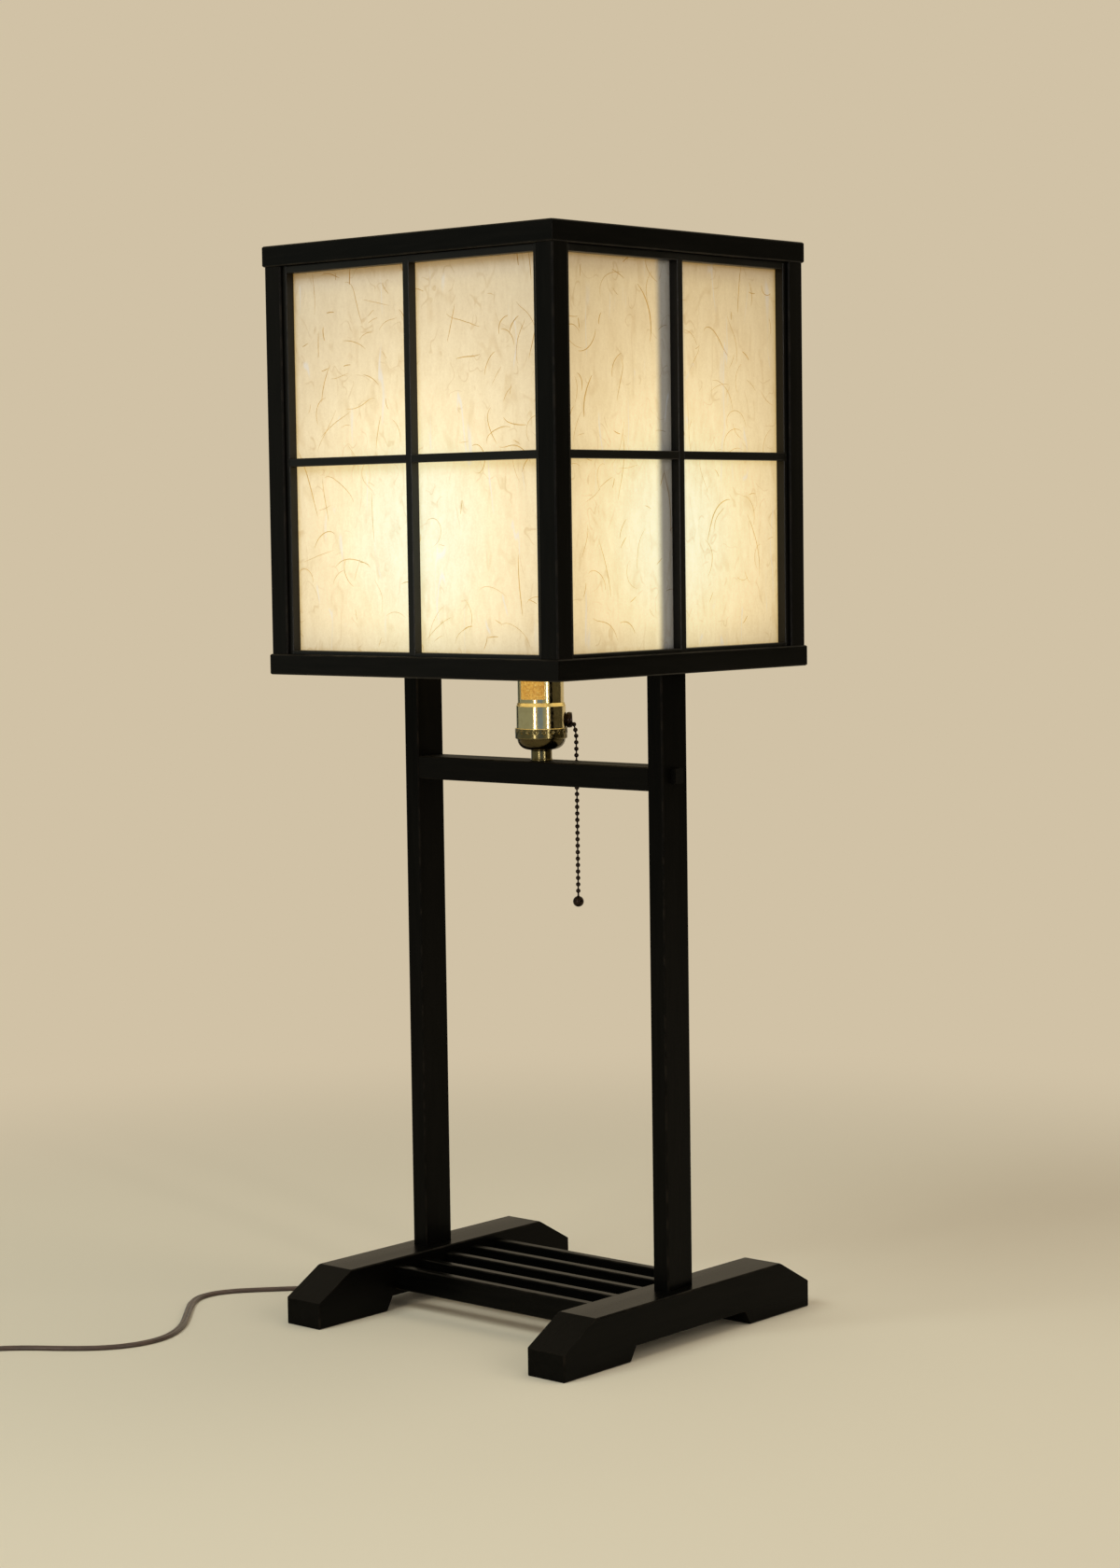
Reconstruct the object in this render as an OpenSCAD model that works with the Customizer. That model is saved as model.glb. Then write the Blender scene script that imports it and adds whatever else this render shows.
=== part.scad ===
// Table lamp with a square paper-and-lattice shade on a two-post wooden stand.
// X runs along the crossbar, Y along the feet, Z up from the surface it stands on.

/* [Shade] */
// Outside width of the square top and bottom rails
shade_w = 260; // [258:1:266]
// Height of the shade over its rails
shade_h = 288; // [240:1:320]
// Height of a top or bottom rail
rail_h = 14; // [13:0.5:16]
// Depth of a rail in plan
rail_d = 11.5; // [11:0.25:11.75]
// How far the rails stand proud of the corner posts
rail_lip = 1; // [0.5:0.25:1.5]
// Side of a square corner post
corner_w = 15; // [14.5:0.5:16]
// How far the lattice sits behind the corner posts' faces
lattice_recess = 2.5; // [2:0.25:3]
// Depth of the lattice frame and its bars
lattice_d = 7; // [5:0.5:7]
// Width of a lattice frame member
member_w = 5; // [4.5:0.5:6]
// Width of a lattice bar
bar_w = 5.5; // [4:0.5:6]
// Thickness of the paper
paper_t = 0.5; // [0.3:0.1:0.6]

/* [Stand] */
// Height of the whole lamp
lamp_h = 736; // [700:1:780]
// Distance between the two posts' centres
post_span = 222; // [218:1:222]
// Thickness of a post along the crossbar
post_x = 13; // [12.5:0.5:13]
// Width of a post along the feet
post_y = 26; // [24:1:28]
// Length of a foot
foot_l = 260; // [240:1:280]
// Width of a foot
foot_w = 32; // [30:1:36]
// Height of a foot
foot_h = 36; // [34:1:40]
// Height of the foot's square end below its slope
foot_end_h = 18; // [14:1:20]
// Run of the slope at each end of a foot
foot_slope = 32; // [24:1:36]
// Length of the arch under a foot at the floor
arch_l = 128; // [120:1:132]
// Length of the arch at its ceiling
arch_top_l = 116; // [104:1:118]
// Height of the arch
arch_h = 10; // [9:0.5:11]
// Height of the crossbar's top above the surface
bar_top = 386; // [376:1:396]
// Height of the crossbar's section
crossbar_h = 16; // [16:0.5:18]
// Depth of the crossbar's section
crossbar_d = 25; // [23:0.5:26]
// How far the crossbar's tenons show outside the posts
tenon_proud = 4; // [2:0.5:6]
// Number of slats between the feet
slat_n = 5; // [3:2:7]
// Distance from one slat to the next
slat_pitch = 26.25; // [22:0.25:30]
// Thickness of a slat, which stands on edge
slat_t = 6.5; // [5:0.5:8]
// Height of a slat
slat_h = 16.5; // [12:0.5:18]
// Height of the slats' top above the surface
slat_top = 31; // [28:1:33]

/* [Socket and bulb] */
// Diameter of the upper part of the brass shell
shell_dia = 31.9; // [31:0.1:33]
// Diameter of the shell below its shoulder
skirt_dia = 34.1; // [33.6:0.1:34.6]
// Diameter of the cap's rim
cap_dia = 35.9; // [35:0.1:37]
// Diameter of the neck between cap and crossbar
neck_dia = 14.4; // [12:0.2:16]
// Height of the neck
neck_h = 7; // [5:0.5:10]
// Diameter of the bulb's glass
bulb_dia = 60; // [45:1:60]
// Length of the bulb's glass above its base
bulb_l = 84; // [70:1:90]

/* [Pull chain] */
// Diameter of a chain ball
ball_d = 3.2; // [2.4:0.1:3.2]
// Distance from one ball to the next
ball_pitch = 4.45; // [4.2:0.05:4.8]
// Number of balls in the free-hanging length
hanging_balls = 25; // [12:1:30]
// Diameter of the ball at the chain's end
pull_ball_d = 7.5; // [6:0.5:9]

/* [Cord] */
// Width of the flat two-core cord
cord_w = 5.2; // [4.8:0.1:5.4]
// Thickness of the cord
cord_t = 2.7; // [2.4:0.1:2.9]
// Turns in each of the coil's two layers
coil_turns = 3.5; // [2.5:1:5.5]

/* [Hidden] */

$fn = 48;
eps = 0.01;
ease = 0.8;
slip = 0.3;

black_wood = [0.075, 0.075, 0.07];
lit_paper = [0.97, 0.89, 0.72];
bright_brass = [0.78, 0.66, 0.36];
old_brass = [0.42, 0.36, 0.2];
dark_bronze = [0.16, 0.09, 0.06];
brown_cord = [0.16, 0.11, 0.09];
brown_plastic = [0.15, 0.1, 0.08];
frosted_glass = [0.98, 0.95, 0.88];
grey_board = [0.5, 0.5, 0.48];

// Shade levels and faces, measured from the lamp's axis and the surface
shade_z = lamp_h - shade_h;
open_z0 = shade_z + rail_h;
open_z1 = lamp_h - rail_h;
corner_face = shade_w / 2 - rail_lip;
corner_in = corner_face - corner_w;
lattice_face = corner_face - lattice_recess;
lattice_back = lattice_face - lattice_d;
side_groove = 1.5;
sill_groove = 2.5;
frame_z0 = open_z0 - sill_groove;
frame_half = corner_in + side_groove;
clear_half = frame_half - member_w;
clear_z0 = frame_z0 + member_w;
clear_z1 = open_z1 - member_w;
lattice_mid = (clear_z0 + clear_z1) / 2;
bar_stub = 2;
rail_in = shade_w / 2 - rail_d;
rail_mid = shade_w / 2 - rail_d / 2;
corner_tenon = 7;
corner_tenon_h = 6;
cleat_w = 14.5;
cleat_h = 12;
cleat_house = 4;
cleat_mid = rail_in - cleat_w / 2;
sides = ["front", "right", "back", "left"];

// Stand levels
post_mid = post_span / 2;
post_in = post_mid - post_x / 2;
post_out = post_mid + post_x / 2;
post_foot_z = 18;
post_top = open_z1 - slip;
post_tenon = [7, 16, 8];
bar_z = bar_top - crossbar_h;
tenon_y = 8;
tenon_h = 10;
tenon_z = bar_top - 1 - tenon_h;
tenon_bevel = 1;
slat_house = 6;
cord_slot_h = tenon_z - 0.1 - bar_z;
cord_bore = 7;
nut_recess_d = 22;
nut_recess_h = 11;

// Socket levels, from the crossbar's top upwards
neck_top = bar_top + neck_h;
cap_rim_z = neck_top + 8;
cap_top = cap_rim_z + 7.5;
shoulder_z = cap_top + 14.7;
shoulder_h = 3;
shell_top = shoulder_z + 32;
shell_t = 0.8;
nipple_d = 10;
nipple_bore = 7;
nipple_z = bar_top - 9.5;
nut_h = 4;
sleeve_gap = 0.1;
sleeve_t = 0.6;
body_r = 14.3;
body_z = cap_rim_z - 1;
body_top = shoulder_z + 4;
screw_r = 13.4;
screw_t = 0.5;
screw_top = shell_top - 3;
contact_z = body_top + 3.5;
contact_h = 1.4;
base_r = 12.95;
base_t = 1;
base_top = contact_z + 27;
neck_in = 6;
neck_r = 11.9;
glass_t = 0.9;

// The pull chain leaves a bell on the shell, turned away from the crossbar
chain_angle = 45;
bell_z = cap_top + 5;
bell_bore = 4.8;
bell_flare = 2.6;
bell_out = 21.1;
bell_r = 5.45;
bell_belly = [1.45, 2.2];
link_d = 1;
link_gap = 0.15;
feed_place = [20, -0.3];
lead_places = [[22.5, -3.2], [23.4, -7]];
hang_place = [23.9, -11.1];
pull_cup_h = 2.6;

// The cord's way inside the stand, then along the surface
slot_cord_z = bar_z + 2.2;
floor_z = cord_t / 2 + 0.05;
nipple_bend = 4;
post_bend = 4;
arch_bend = 5;
outlet_x = -(post_mid + foot_w / 2);
cord_route = [
    [outlet_x, 0], [-133, 0], [-140, -2], [-148, -8], [-157, -18], [-167, -31], [-178, -44],
    [-190, -57], [-202, -70], [-213, -82], [-222, -94], [-227, -107], [-226, -121], [-219, -134],
    [-209, -146], [-198, -158], [-187, -170], [-176, -183], [-167, -197], [-161, -212], [-160, -228],
    [-164, -243], [-172, -256], [-183, -267], [-196, -277], [-209, -286], [-221, -296],
    [-230, -306.5], [-235, -316], [-237, -322.5], [-237, -328]
];
coil_pitch = cord_w + 0.6;
layer_rise = cord_t + 0.5;
coil_in = 18.9;
coil_out = coil_in + coil_turns * coil_pitch;
coil_centre = [-237 - coil_out, -335];
loop_rings = 24;
tail_rise_l = 9;
tail_l = 14;
relief_l = 20;
relief_tip = [7.2, 4.4];
relief_foot = [10.8, 8];
plug_neck_l = 4;
plug_body_l = 46;
plug_w = 20;
plug_t = 12;
plug_round = 1;
blade = [1.5, 17, 6.3];
blade_gap = 12.7;

// A rectangle with its corners eased by a small flat
module eased_rect(w, h, c = ease) {
    a = w / 2;
    b = h / 2;
    polygon([[c - a, -b], [a - c, -b], [a, c - b], [a, b - c], [a - c, b], [c - a, b], [-a, b - c], [-a, c - b]]);
}

// A straight bar with eased arrises along X, Y or Z, centred on its middle
module beam_x(l, y, z, c = ease) {
    rotate([90, 0, 90]) linear_extrude(height = l, center = true) eased_rect(y, z, c);
}

module beam_y(l, x, z, c = ease) {
    rotate([90, 0, 0]) linear_extrude(height = l, center = true) eased_rect(x, z, c);
}

module beam_z(l, x, y, c = ease) {
    linear_extrude(height = l) eased_rect(x, y, c);
}

module box(size, at) {
    translate(at) translate([-size[0] / 2, -size[1] / 2, 0]) cube(size);
}

// Turns a piece made for the front side to one of the four sides
module to_side(i) {
    rotate([0, 0, 90 * i]) children();
}

// Feet, with a sloped end, an arch below, and mortises for the post and the slats
module foot_outline() {
    a = foot_l / 2;
    polygon([
        [-a, 0], [-arch_l / 2, 0], [-arch_top_l / 2, arch_h], [arch_top_l / 2, arch_h], [arch_l / 2, 0], [a, 0],
        [a, foot_end_h], [a - foot_slope, foot_h], [foot_slope - a, foot_h], [-a, foot_end_h]
    ]);
}

module foot(side) {
    difference() {
        translate([side * post_mid, 0, 0]) intersection() {
            rotate([90, 0, 90]) linear_extrude(height = foot_w, center = true) foot_outline();
            translate([0, 0, foot_h / 2]) beam_y(foot_l, foot_w, foot_h);
            beam_z(foot_h, foot_w, foot_l);
        }
        translate([side * post_mid, 0, post_foot_z]) beam_z(foot_h, post_x, post_y);
        for (i = [0:slat_n - 1]) slat(i);
    }
}

module left_foot() {
    color(black_wood) difference() {
        foot(-1);
        translate([-post_mid, 0, 0]) cylinder(d = cord_bore, h = post_foot_z + 1);
    }
}

module right_foot() {
    color(black_wood) foot(1);
}

// Slats on edge, housed in the inner sides of both feet
module slat(i) {
    y = (i - (slat_n - 1) / 2) * slat_pitch;
    l = post_span - foot_w + 2 * slat_house;
    translate([0, y, slat_top - slat_h / 2]) beam_x(l, slat_t, slat_h, 0.6);
}

// Posts, housed in the feet, with a through mortise for the crossbar and a tenon for the shade
module stand_post(side) {
    difference() {
        union() {
            translate([side * post_mid, 0, post_foot_z]) beam_z(post_top - post_foot_z, post_x, post_y);
            box(post_tenon, [side * post_mid, 0, post_top - eps]);
        }
        box([post_x + 2, tenon_y, tenon_h], [side * post_mid, 0, tenon_z]);
    }
}

module left_post() {
    color(black_wood) difference() {
        stand_post(-1);
        translate([-post_mid, 0, 0]) cylinder(d = cord_bore, h = bar_z + cord_slot_h);
        box([post_x / 2, cord_bore - 1, cord_slot_h], [-post_mid + post_x / 4 + eps, 0, bar_z]);
    }
}

module right_post() {
    color(black_wood) stand_post(1);
}

// The crossbar ends in through tenons whose ends are bevelled all round
module crossbar_tenon(side) {
    shank = post_x + tenon_proud - tenon_bevel + eps;
    translate([side * (post_in + shank / 2 - eps), 0, tenon_z + tenon_h / 2])
        beam_x(shank, tenon_y, tenon_h, 0);
    intersection() {
        translate([side * (post_out + tenon_proud - tenon_bevel / 2), 0, tenon_z + tenon_h / 2])
            beam_x(tenon_bevel, tenon_y, tenon_h, tenon_bevel);
        box([tenon_bevel, tenon_y, tenon_h], [side * (post_out + tenon_proud - tenon_bevel / 2), 0, tenon_z]);
    }
}

module crossbar() {
    color(black_wood) difference() {
        union() {
            translate([0, 0, bar_top - crossbar_h / 2]) beam_x(2 * post_in, crossbar_d, crossbar_h);
            crossbar_tenon(-1);
            crossbar_tenon(1);
        }
        translate([0, 0, bar_z - 1]) cylinder(d = nipple_d, h = crossbar_h + 2);
        translate([0, 0, bar_z - 1]) cylinder(d = nut_recess_d, h = nut_recess_h + 1);
        box([post_in, cord_bore - 1, cord_slot_h + 1], [-post_in / 2 - eps, 0, bar_z - 1]);
    }
}

// Shade rails, mitred at the corners; the bottom ones are grooved for the lattice frames
module rail(i, z) {
    to_side(i) difference() {
        translate([0, -rail_mid, z + rail_h / 2]) beam_x(shade_w, rail_d, rail_h);
        for (s = [-1, 1])
            translate([s * shade_w / 2, -shade_w / 2, z - 1]) rotate([0, 0, s * 45])
                translate([s > 0 ? 0 : -2 * rail_d, -rail_d, 0]) cube([2 * rail_d, 4 * rail_d, rail_h + 2]);
    }
}

module corner_mortises(z) {
    for (i = [0:3]) to_side(i) box([corner_tenon, corner_tenon, corner_tenon_h], [rail_mid, -rail_mid, z]);
}

module top_rail(i) {
    color(black_wood) difference() {
        rail(i, open_z1);
        corner_mortises(open_z1);
        for (s = [-1, 1]) cleat_body(s);
    }
}

module bottom_rail(i) {
    color(black_wood) difference() {
        rail(i, shade_z);
        corner_mortises(open_z0 - corner_tenon_h);
        to_side(i) translate([-frame_half, -lattice_face, frame_z0])
            cube([2 * frame_half, lattice_d, sill_groove + 1]);
    }
}

// Corner posts, grooved on two sides for the lattice frames, tenoned into both rails
module corner_post(i) {
    color(black_wood) to_side(i) difference() {
        union() {
            translate([corner_face - corner_w / 2, corner_w / 2 - corner_face, open_z0])
                beam_z(open_z1 - open_z0, corner_w, corner_w);
            box([corner_tenon, corner_tenon, open_z1 - open_z0 + 2 * corner_tenon_h],
                [rail_mid, -rail_mid, open_z0 - corner_tenon_h]);
        }
        translate([frame_half - side_groove - eps, -lattice_face, open_z0 - eps])
            cube([side_groove + eps, lattice_d, open_z1 - open_z0 + 2 * eps]);
        translate([lattice_back, -frame_half, open_z0 - eps])
            cube([lattice_d, side_groove + eps, open_z1 - open_z0 + 2 * eps]);
    }
}

// Cleats across the top of the shade, which rest on the stand posts' tenons
module cleat_body(side) {
    translate([side * cleat_mid, 0, open_z1 + cleat_h / 2])
        beam_y(2 * (rail_in + cleat_house), cleat_w, cleat_h, 0);
}

module cleat(side) {
    hole = [post_tenon[0] + 0.8, post_tenon[1] + 0.8, post_tenon[2] + slip];
    color(black_wood) difference() {
        cleat_body(side);
        box([hole[0], hole[1], hole[2] + 1], [side * post_mid, 0, open_z1 - 1]);
    }
}

// Lattice frame of one side: two stiles with two members tenoned between them
module lattice_member_z(x) {
    translate([x, -(lattice_face + lattice_back) / 2, frame_z0])
        beam_z(open_z1 - frame_z0, member_w, lattice_d, 0.4);
}

module lattice_member_x(z) {
    translate([0, -(lattice_face + lattice_back) / 2, z])
        beam_x(2 * clear_half, lattice_d, member_w, 0.4);
}

module lattice_frame(i) {
    color(black_wood) to_side(i) difference() {
        union() {
            for (s = [-1, 1]) lattice_member_z(s * (frame_half - member_w / 2));
            lattice_member_x(frame_z0 + member_w / 2);
            lattice_member_x(open_z1 - member_w / 2);
        }
        upright_blank();
        cross_blank();
    }
}

// Lattice bars, halved over each other where they cross and let into the frame
module upright_blank() {
    translate([0, -(lattice_face + lattice_back) / 2, clear_z0 - bar_stub])
        beam_z(clear_z1 - clear_z0 + 2 * bar_stub, bar_w, lattice_d, 0.4);
}

module cross_blank() {
    translate([0, -(lattice_face + lattice_back) / 2, lattice_mid])
        beam_x(2 * (clear_half + bar_stub), lattice_d, bar_w, 0.4);
}

module lap(front) {
    y = front ? -lattice_face - 1 : -lattice_face + lattice_d / 2;
    translate([-bar_w / 2, y, lattice_mid - bar_w / 2]) cube([bar_w, lattice_d / 2 + 1, bar_w]);
}

module upright_bar(i) {
    color(black_wood) to_side(i) difference() {
        upright_blank();
        lap(false);
    }
}

module cross_bar(i) {
    color(black_wood) to_side(i) difference() {
        cross_blank();
        lap(true);
    }
}

module paper(i) {
    edge = member_w / 2;
    color(lit_paper) to_side(i) translate([-clear_half - edge, -lattice_back, clear_z0 - edge])
        cube([2 * (clear_half + edge), paper_t, clear_z1 - clear_z0 + 2 * edge]);
}

// Threaded nipple and locknut that hold the socket to the crossbar
module threaded_nipple() {
    color(old_brass) difference() {
        translate([0, 0, nipple_z]) cylinder(d = nipple_d, h = neck_top + 5 - nipple_z);
        translate([0, 0, nipple_z - 1]) cylinder(d = nipple_bore, h = neck_top + 7 - nipple_z);
    }
}

module locknut() {
    color(old_brass) translate([0, 0, bar_z + nut_recess_h - nut_h]) difference() {
        cylinder(d = 16, h = nut_h, $fn = 6);
        translate([0, 0, -1]) cylinder(d = nipple_d, h = nut_h + 2);
    }
}

module brass_neck() {
    r = neck_dia / 2;
    color(old_brass) rotate_extrude() polygon([
        [nipple_d / 2, bar_top], [r + 0.5, bar_top], [r + 0.5, bar_top + 0.9], [r, bar_top + 1.4],
        [r, neck_top - 0.4], [r - 0.4, neck_top], [nipple_d / 2, neck_top]
    ]);
}

// Socket cap: a bowl with a taller rim, pressed from sheet
cap_bowl = [for (a = [0:15:90]) [8.5 + 8 * sin(a), neck_top + 8 - 7.4 * cos(a)]];
module socket_cap() {
    r = cap_dia / 2;
    outside = concat([[nipple_d / 2, neck_top], [7.4, neck_top]], cap_bowl, [[r - 0.5, cap_rim_z], [r, cap_rim_z + 0.5]]);
    top = [[r, cap_top - 0.5], [r - 0.4, cap_top], [r - shell_t, cap_top]];
    inside = concat(
        [[r - shell_t, cap_rim_z + 1]],
        [for (a = [90:-15:0]) [8.5 + (8 - shell_t) * sin(a), neck_top + 8 - (7.4 - shell_t) * cos(a)]],
        [[nipple_d / 2, neck_top + 0.6 + shell_t]]
    );
    color(old_brass) difference() {
        rotate_extrude() polygon(concat(outside, top, inside));
        for (a = [0:30:330]) rotate([0, 0, a]) translate([r + 0.9, 0, cap_top - 2.6]) sphere(d = 3, $fn = 16);
    }
}

// Socket shell: skirt, shoulder, straight wall and a rolled lip
module socket_shell() {
    r = shell_dia / 2;
    s = skirt_dia / 2;
    outside = [
        [s, cap_top - 5], [s, shoulder_z], [s - 0.3, shoulder_z + 1], [r + 0.3, shoulder_z + 2.2], [r, shoulder_z + shoulder_h],
        [r, shell_top - 1.6], [r + 0.5, shell_top - 1.1], [r + 0.5, shell_top - 0.4], [r, shell_top]
    ];
    inside = [
        [r - shell_t, shell_top], [r - shell_t, shoulder_z + shoulder_h - 0.4], [s - shell_t, shoulder_z - 0.4],
        [s - shell_t, cap_top - 5]
    ];
    color(bright_brass) difference() {
        rotate_extrude() polygon(concat(outside, inside));
        bell_place() cylinder(d = 7, h = 6, center = true);
    }
}

module insulating_sleeve() {
    r = shell_dia / 2 - shell_t - sleeve_gap;
    color(grey_board) translate([0, 0, shoulder_z + shoulder_h]) difference() {
        cylinder(r = r, h = shell_top - shoulder_z - shoulder_h - 1);
        translate([0, 0, -1]) cylinder(r = r - sleeve_t, h = shell_top);
    }
}

// Moulded socket body with a waist for the two terminal screws, and the centre contact on top
module socket_body() {
    waist_r = 11;
    color(brown_plastic) difference() {
        union() {
            translate([0, 0, body_z + 1]) cylinder(r = waist_r, h = body_top - body_z - 1);
            translate([0, 0, body_top - 12]) cylinder(r = body_r, h = 12);
        }
        translate([0, 0, body_z]) cylinder(d = 8, h = 8);
        bell_place() cylinder(d = 7, h = 12, center = true);
    }
    color(bright_brass) for (a = [135, 315]) rotate([0, 0, a]) translate([waist_r - eps, 0, body_z + 5])
        rotate([0, 90, 0]) cylinder(d = 6, h = 2);
    color(bright_brass) translate([0, 0, body_top - eps]) cylinder(d = 5, h = contact_z - body_top);
}

module screw_shell() {
    color(bright_brass) difference() {
        translate([0, 0, body_top]) cylinder(r = screw_r + screw_t, h = screw_top - body_top);
        translate([0, 0, body_top + 1]) cylinder(r = screw_r, h = screw_top);
        translate([0, 0, body_top - 1]) cylinder(d = 8, h = 3);
    }
}

// Everything on the bell's axis is placed from the shell's wall outwards
module bell_place() {
    rotate([0, 0, chain_angle]) translate([skirt_dia / 2, 0, bell_z]) rotate([0, 90, 0]) children();
}

module chain_bell() {
    b = bell_bore / 2;
    r = b + bell_flare;
    out = bell_out - skirt_dia / 2;
    mouth = [for (a = [0:15:90]) [r - bell_flare * cos(a), out - bell_flare + bell_flare * sin(a)]];
    belly = [for (a = [30:-20:-90]) [
        bell_r + bell_belly[0] * (cos(a) - 1),
        bell_belly[1] * (1 + sin(a)) + 0.05
    ]];
    color(dark_bronze) bell_place() rotate_extrude() polygon(concat(
        [[b, -3]], mouth, [[r + 0.2, out - 0.2]], belly, [[3.4, 0.05], [3.4, -3]]
    ));
}

// Chain balls are placed by their distance from the axis and their height from the bell
module chain_ball(p) {
    rotate([0, 0, chain_angle]) translate([p[0], 0, bell_z + p[1]]) sphere(d = ball_d, $fn = 24);
}

// A link runs from one ball's centre towards the next ball, to just short of its surface
module chain_link(p, q, short) {
    d = q - p;
    rotate([0, 0, chain_angle]) translate([p[0], 0, bell_z + p[1]])
        rotate([0, atan2(d[0], d[1]), 0]) cylinder(d = link_d, h = norm(d) - short, $fn = 16);
}

module feed_ball() {
    color(dark_bronze) chain_ball(feed_place);
}

module chain_lead() {
    reach = ball_d / 2 + link_gap;
    color(dark_bronze) union() {
        for (p = lead_places) chain_ball(p);
        chain_link(lead_places[0], lead_places[1], 0);
        chain_link(lead_places[0], feed_place, reach);
        chain_link(lead_places[1], hang_place, reach);
    }
}

// Hanging chain, with an end ball whose small cup holds the last chain ball
module pull_chain() {
    l = (hanging_balls - 1) * ball_pitch;
    r = pull_ball_d / 2;
    color(dark_bronze) rotate([0, 0, chain_angle]) translate([hang_place[0], 0, bell_z + hang_place[1]]) union() {
        translate([0, 0, -l]) cylinder(d = link_d, h = l, $fn = 16);
        for (i = [0:hanging_balls - 1]) translate([0, 0, -i * ball_pitch]) sphere(d = ball_d, $fn = 24);
        translate([0, 0, -l - ball_d / 2 - pull_cup_h]) {
            cylinder(d1 = 4.2, d2 = 2.6, h = pull_cup_h + 0.6);
            translate([0, 0, 0.6 - r]) sphere(r = r);
        }
    }
}

// Bulb: a solder contact, a screw base and a thin-walled glass set into it
module bulb_contact() {
    color(grey_board) rotate_extrude() polygon([
        [0, contact_z], [3.2, contact_z], [4, contact_z + 0.6], [4, contact_z + contact_h], [0, contact_z + contact_h]
    ]);
}

module bulb_base() {
    z = contact_z + contact_h;
    color(bright_brass) difference() {
        rotate_extrude() polygon([
            [0, z], [6, z], [11, z + 3.6], [base_r, z + 4.6], [base_r, base_top], [0, base_top]
        ]);
        translate([0, 0, z + 6]) cylinder(r = base_r - base_t, h = base_top);
    }
}

// Half outline of the glass, from the neck inside the base up to the crown
function glass_outline(inset) = let (
    r = bulb_dia / 2,
    low = -48,
    shoulder = [r * cos(low), bulb_l - r + r * sin(low)],
    collar = [13.2, 3]
) concat(
    [[neck_r - inset, -neck_in], [neck_r - inset, 0.3], [collar[0] - inset, 1.6]],
    [for (t = [0:0.125:0.875]) [
        collar[0] - inset + (shoulder[0] - collar[0]) * (t + t * t) / 2,
        collar[1] + (shoulder[1] - collar[1]) * t
    ]],
    [for (a = [low:11.5:78.5]) [(r - inset) * cos(a), bulb_l - r + (r - inset) * sin(a)]],
    [[0, bulb_l - inset]]
);

module bulb_glass() {
    inner = glass_outline(glass_t);
    back = [for (i = [len(inner) - 1:-1:0]) inner[i]];
    color(frosted_glass) translate([0, 0, base_top]) rotate_extrude() polygon(concat(glass_outline(0), back));
}

// Flat cord: the same section along straight runs and round bends inside the stand
module cord_section() {
    square([cord_t, cord_w - cord_t], center = true);
    for (s = [-1, 1]) translate([0, s * (cord_w - cord_t) / 2]) circle(d = cord_t, $fn = 20);
}

module cord_bend(r, from) {
    rotate([90, 0, 0]) rotate([0, 0, from]) rotate_extrude(angle = 90, $fn = 32) translate([r, 0])
        cord_section();
}

module stand_cord() {
    up = body_z + 2;
    x = -post_mid;
    bar_run = [-post_mid + post_bend, -nipple_bend];
    color(brown_cord) union() {
        translate([0, 0, slot_cord_z + nipple_bend]) linear_extrude(height = up - slot_cord_z - nipple_bend)
            cord_section();
        translate([-nipple_bend, 0, slot_cord_z + nipple_bend]) cord_bend(nipple_bend, -90);
        translate([bar_run[0], 0, slot_cord_z]) rotate([0, 90, 0])
            linear_extrude(height = bar_run[1] - bar_run[0]) cord_section();
        translate([x + post_bend, 0, slot_cord_z - post_bend]) cord_bend(post_bend, 90);
        translate([x, 0, floor_z + arch_bend]) linear_extrude(height = slot_cord_z - post_bend - floor_z - arch_bend)
            cord_section();
        translate([x - arch_bend, 0, floor_z + arch_bend]) cord_bend(arch_bend, -90);
        translate([outlet_x, 0, floor_z]) rotate([0, 90, 0]) linear_extrude(height = x - arch_bend - outlet_x)
            cord_section();
    }
}

// Free cord: rings of a flat section swept along a route that lies on the surface
plain_ring = [[1, 0.4], [0.62, 1], [-0.62, 1], [-1, 0.4], [-1, -0.4], [-0.62, -1], [0.62, -1], [1, -0.4]];
coil_ring = [[1, 0], [0.6, 1], [-0.6, 1], [-1, 0], [-0.6, -1], [0.6, -1]];

function cord_ring(section, p, t) = let (s = [t[1], -t[0], 0] / norm([t[0], t[1]]))
    [for (q = section) p + s * q[0] * cord_w / 2 + [0, 0, q[1] * cord_t / 2]];

module cord_tube(route, section) {
    n = len(route);
    m = len(section);
    rings = [for (i = [0:n - 1]) cord_ring(section, route[i], route[min(i + 1, n - 1)] - route[max(i - 1, 0)])];
    points = [for (ring = rings) for (p = ring) p];
    walls = [for (i = [0:n - 2]) for (j = [0:m - 1]) let (a = i * m + j, b = i * m + (j + 1) % m)
        for (face = [[a, b, b + m], [a, b + m, a + m]]) face];
    start = [for (j = [1:m - 2]) [0, j + 1, j]];
    finish = [for (j = [1:m - 2]) [(n - 1) * m, (n - 1) * m + j, (n - 1) * m + j + 1]];
    polyhedron(points = points, faces = concat(walls, start, finish), convexity = 10);
}

// The coil spirals in, climbs a layer in half a turn drawn in from the rest, and spirals out again
function smooth(x) = let (c = min(1, max(0, x))) c * c * (3 - 2 * c);
function coil_radius(t) = let (u = abs(t - coil_turns - 0.25))
    coil_in + coil_pitch * max(0, u - 0.25) - coil_pitch / 2 * smooth((0.75 - u) / 0.5);
function coil_rise(t) = layer_rise * min(1, max(0, (t - coil_turns) * 2));
function coil_point(t) = [
    coil_centre[0] + coil_radius(t) * cos(-360 * t),
    coil_centre[1] + coil_radius(t) * sin(-360 * t),
    floor_z + coil_rise(t)
];
coil_loops = 2 * coil_turns + 0.5;
coil_end = coil_point(coil_loops);
lead_route = [for (p = cord_route) [p[0], p[1], floor_z]];
lead_end = lead_route[len(lead_route) - 1];

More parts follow.
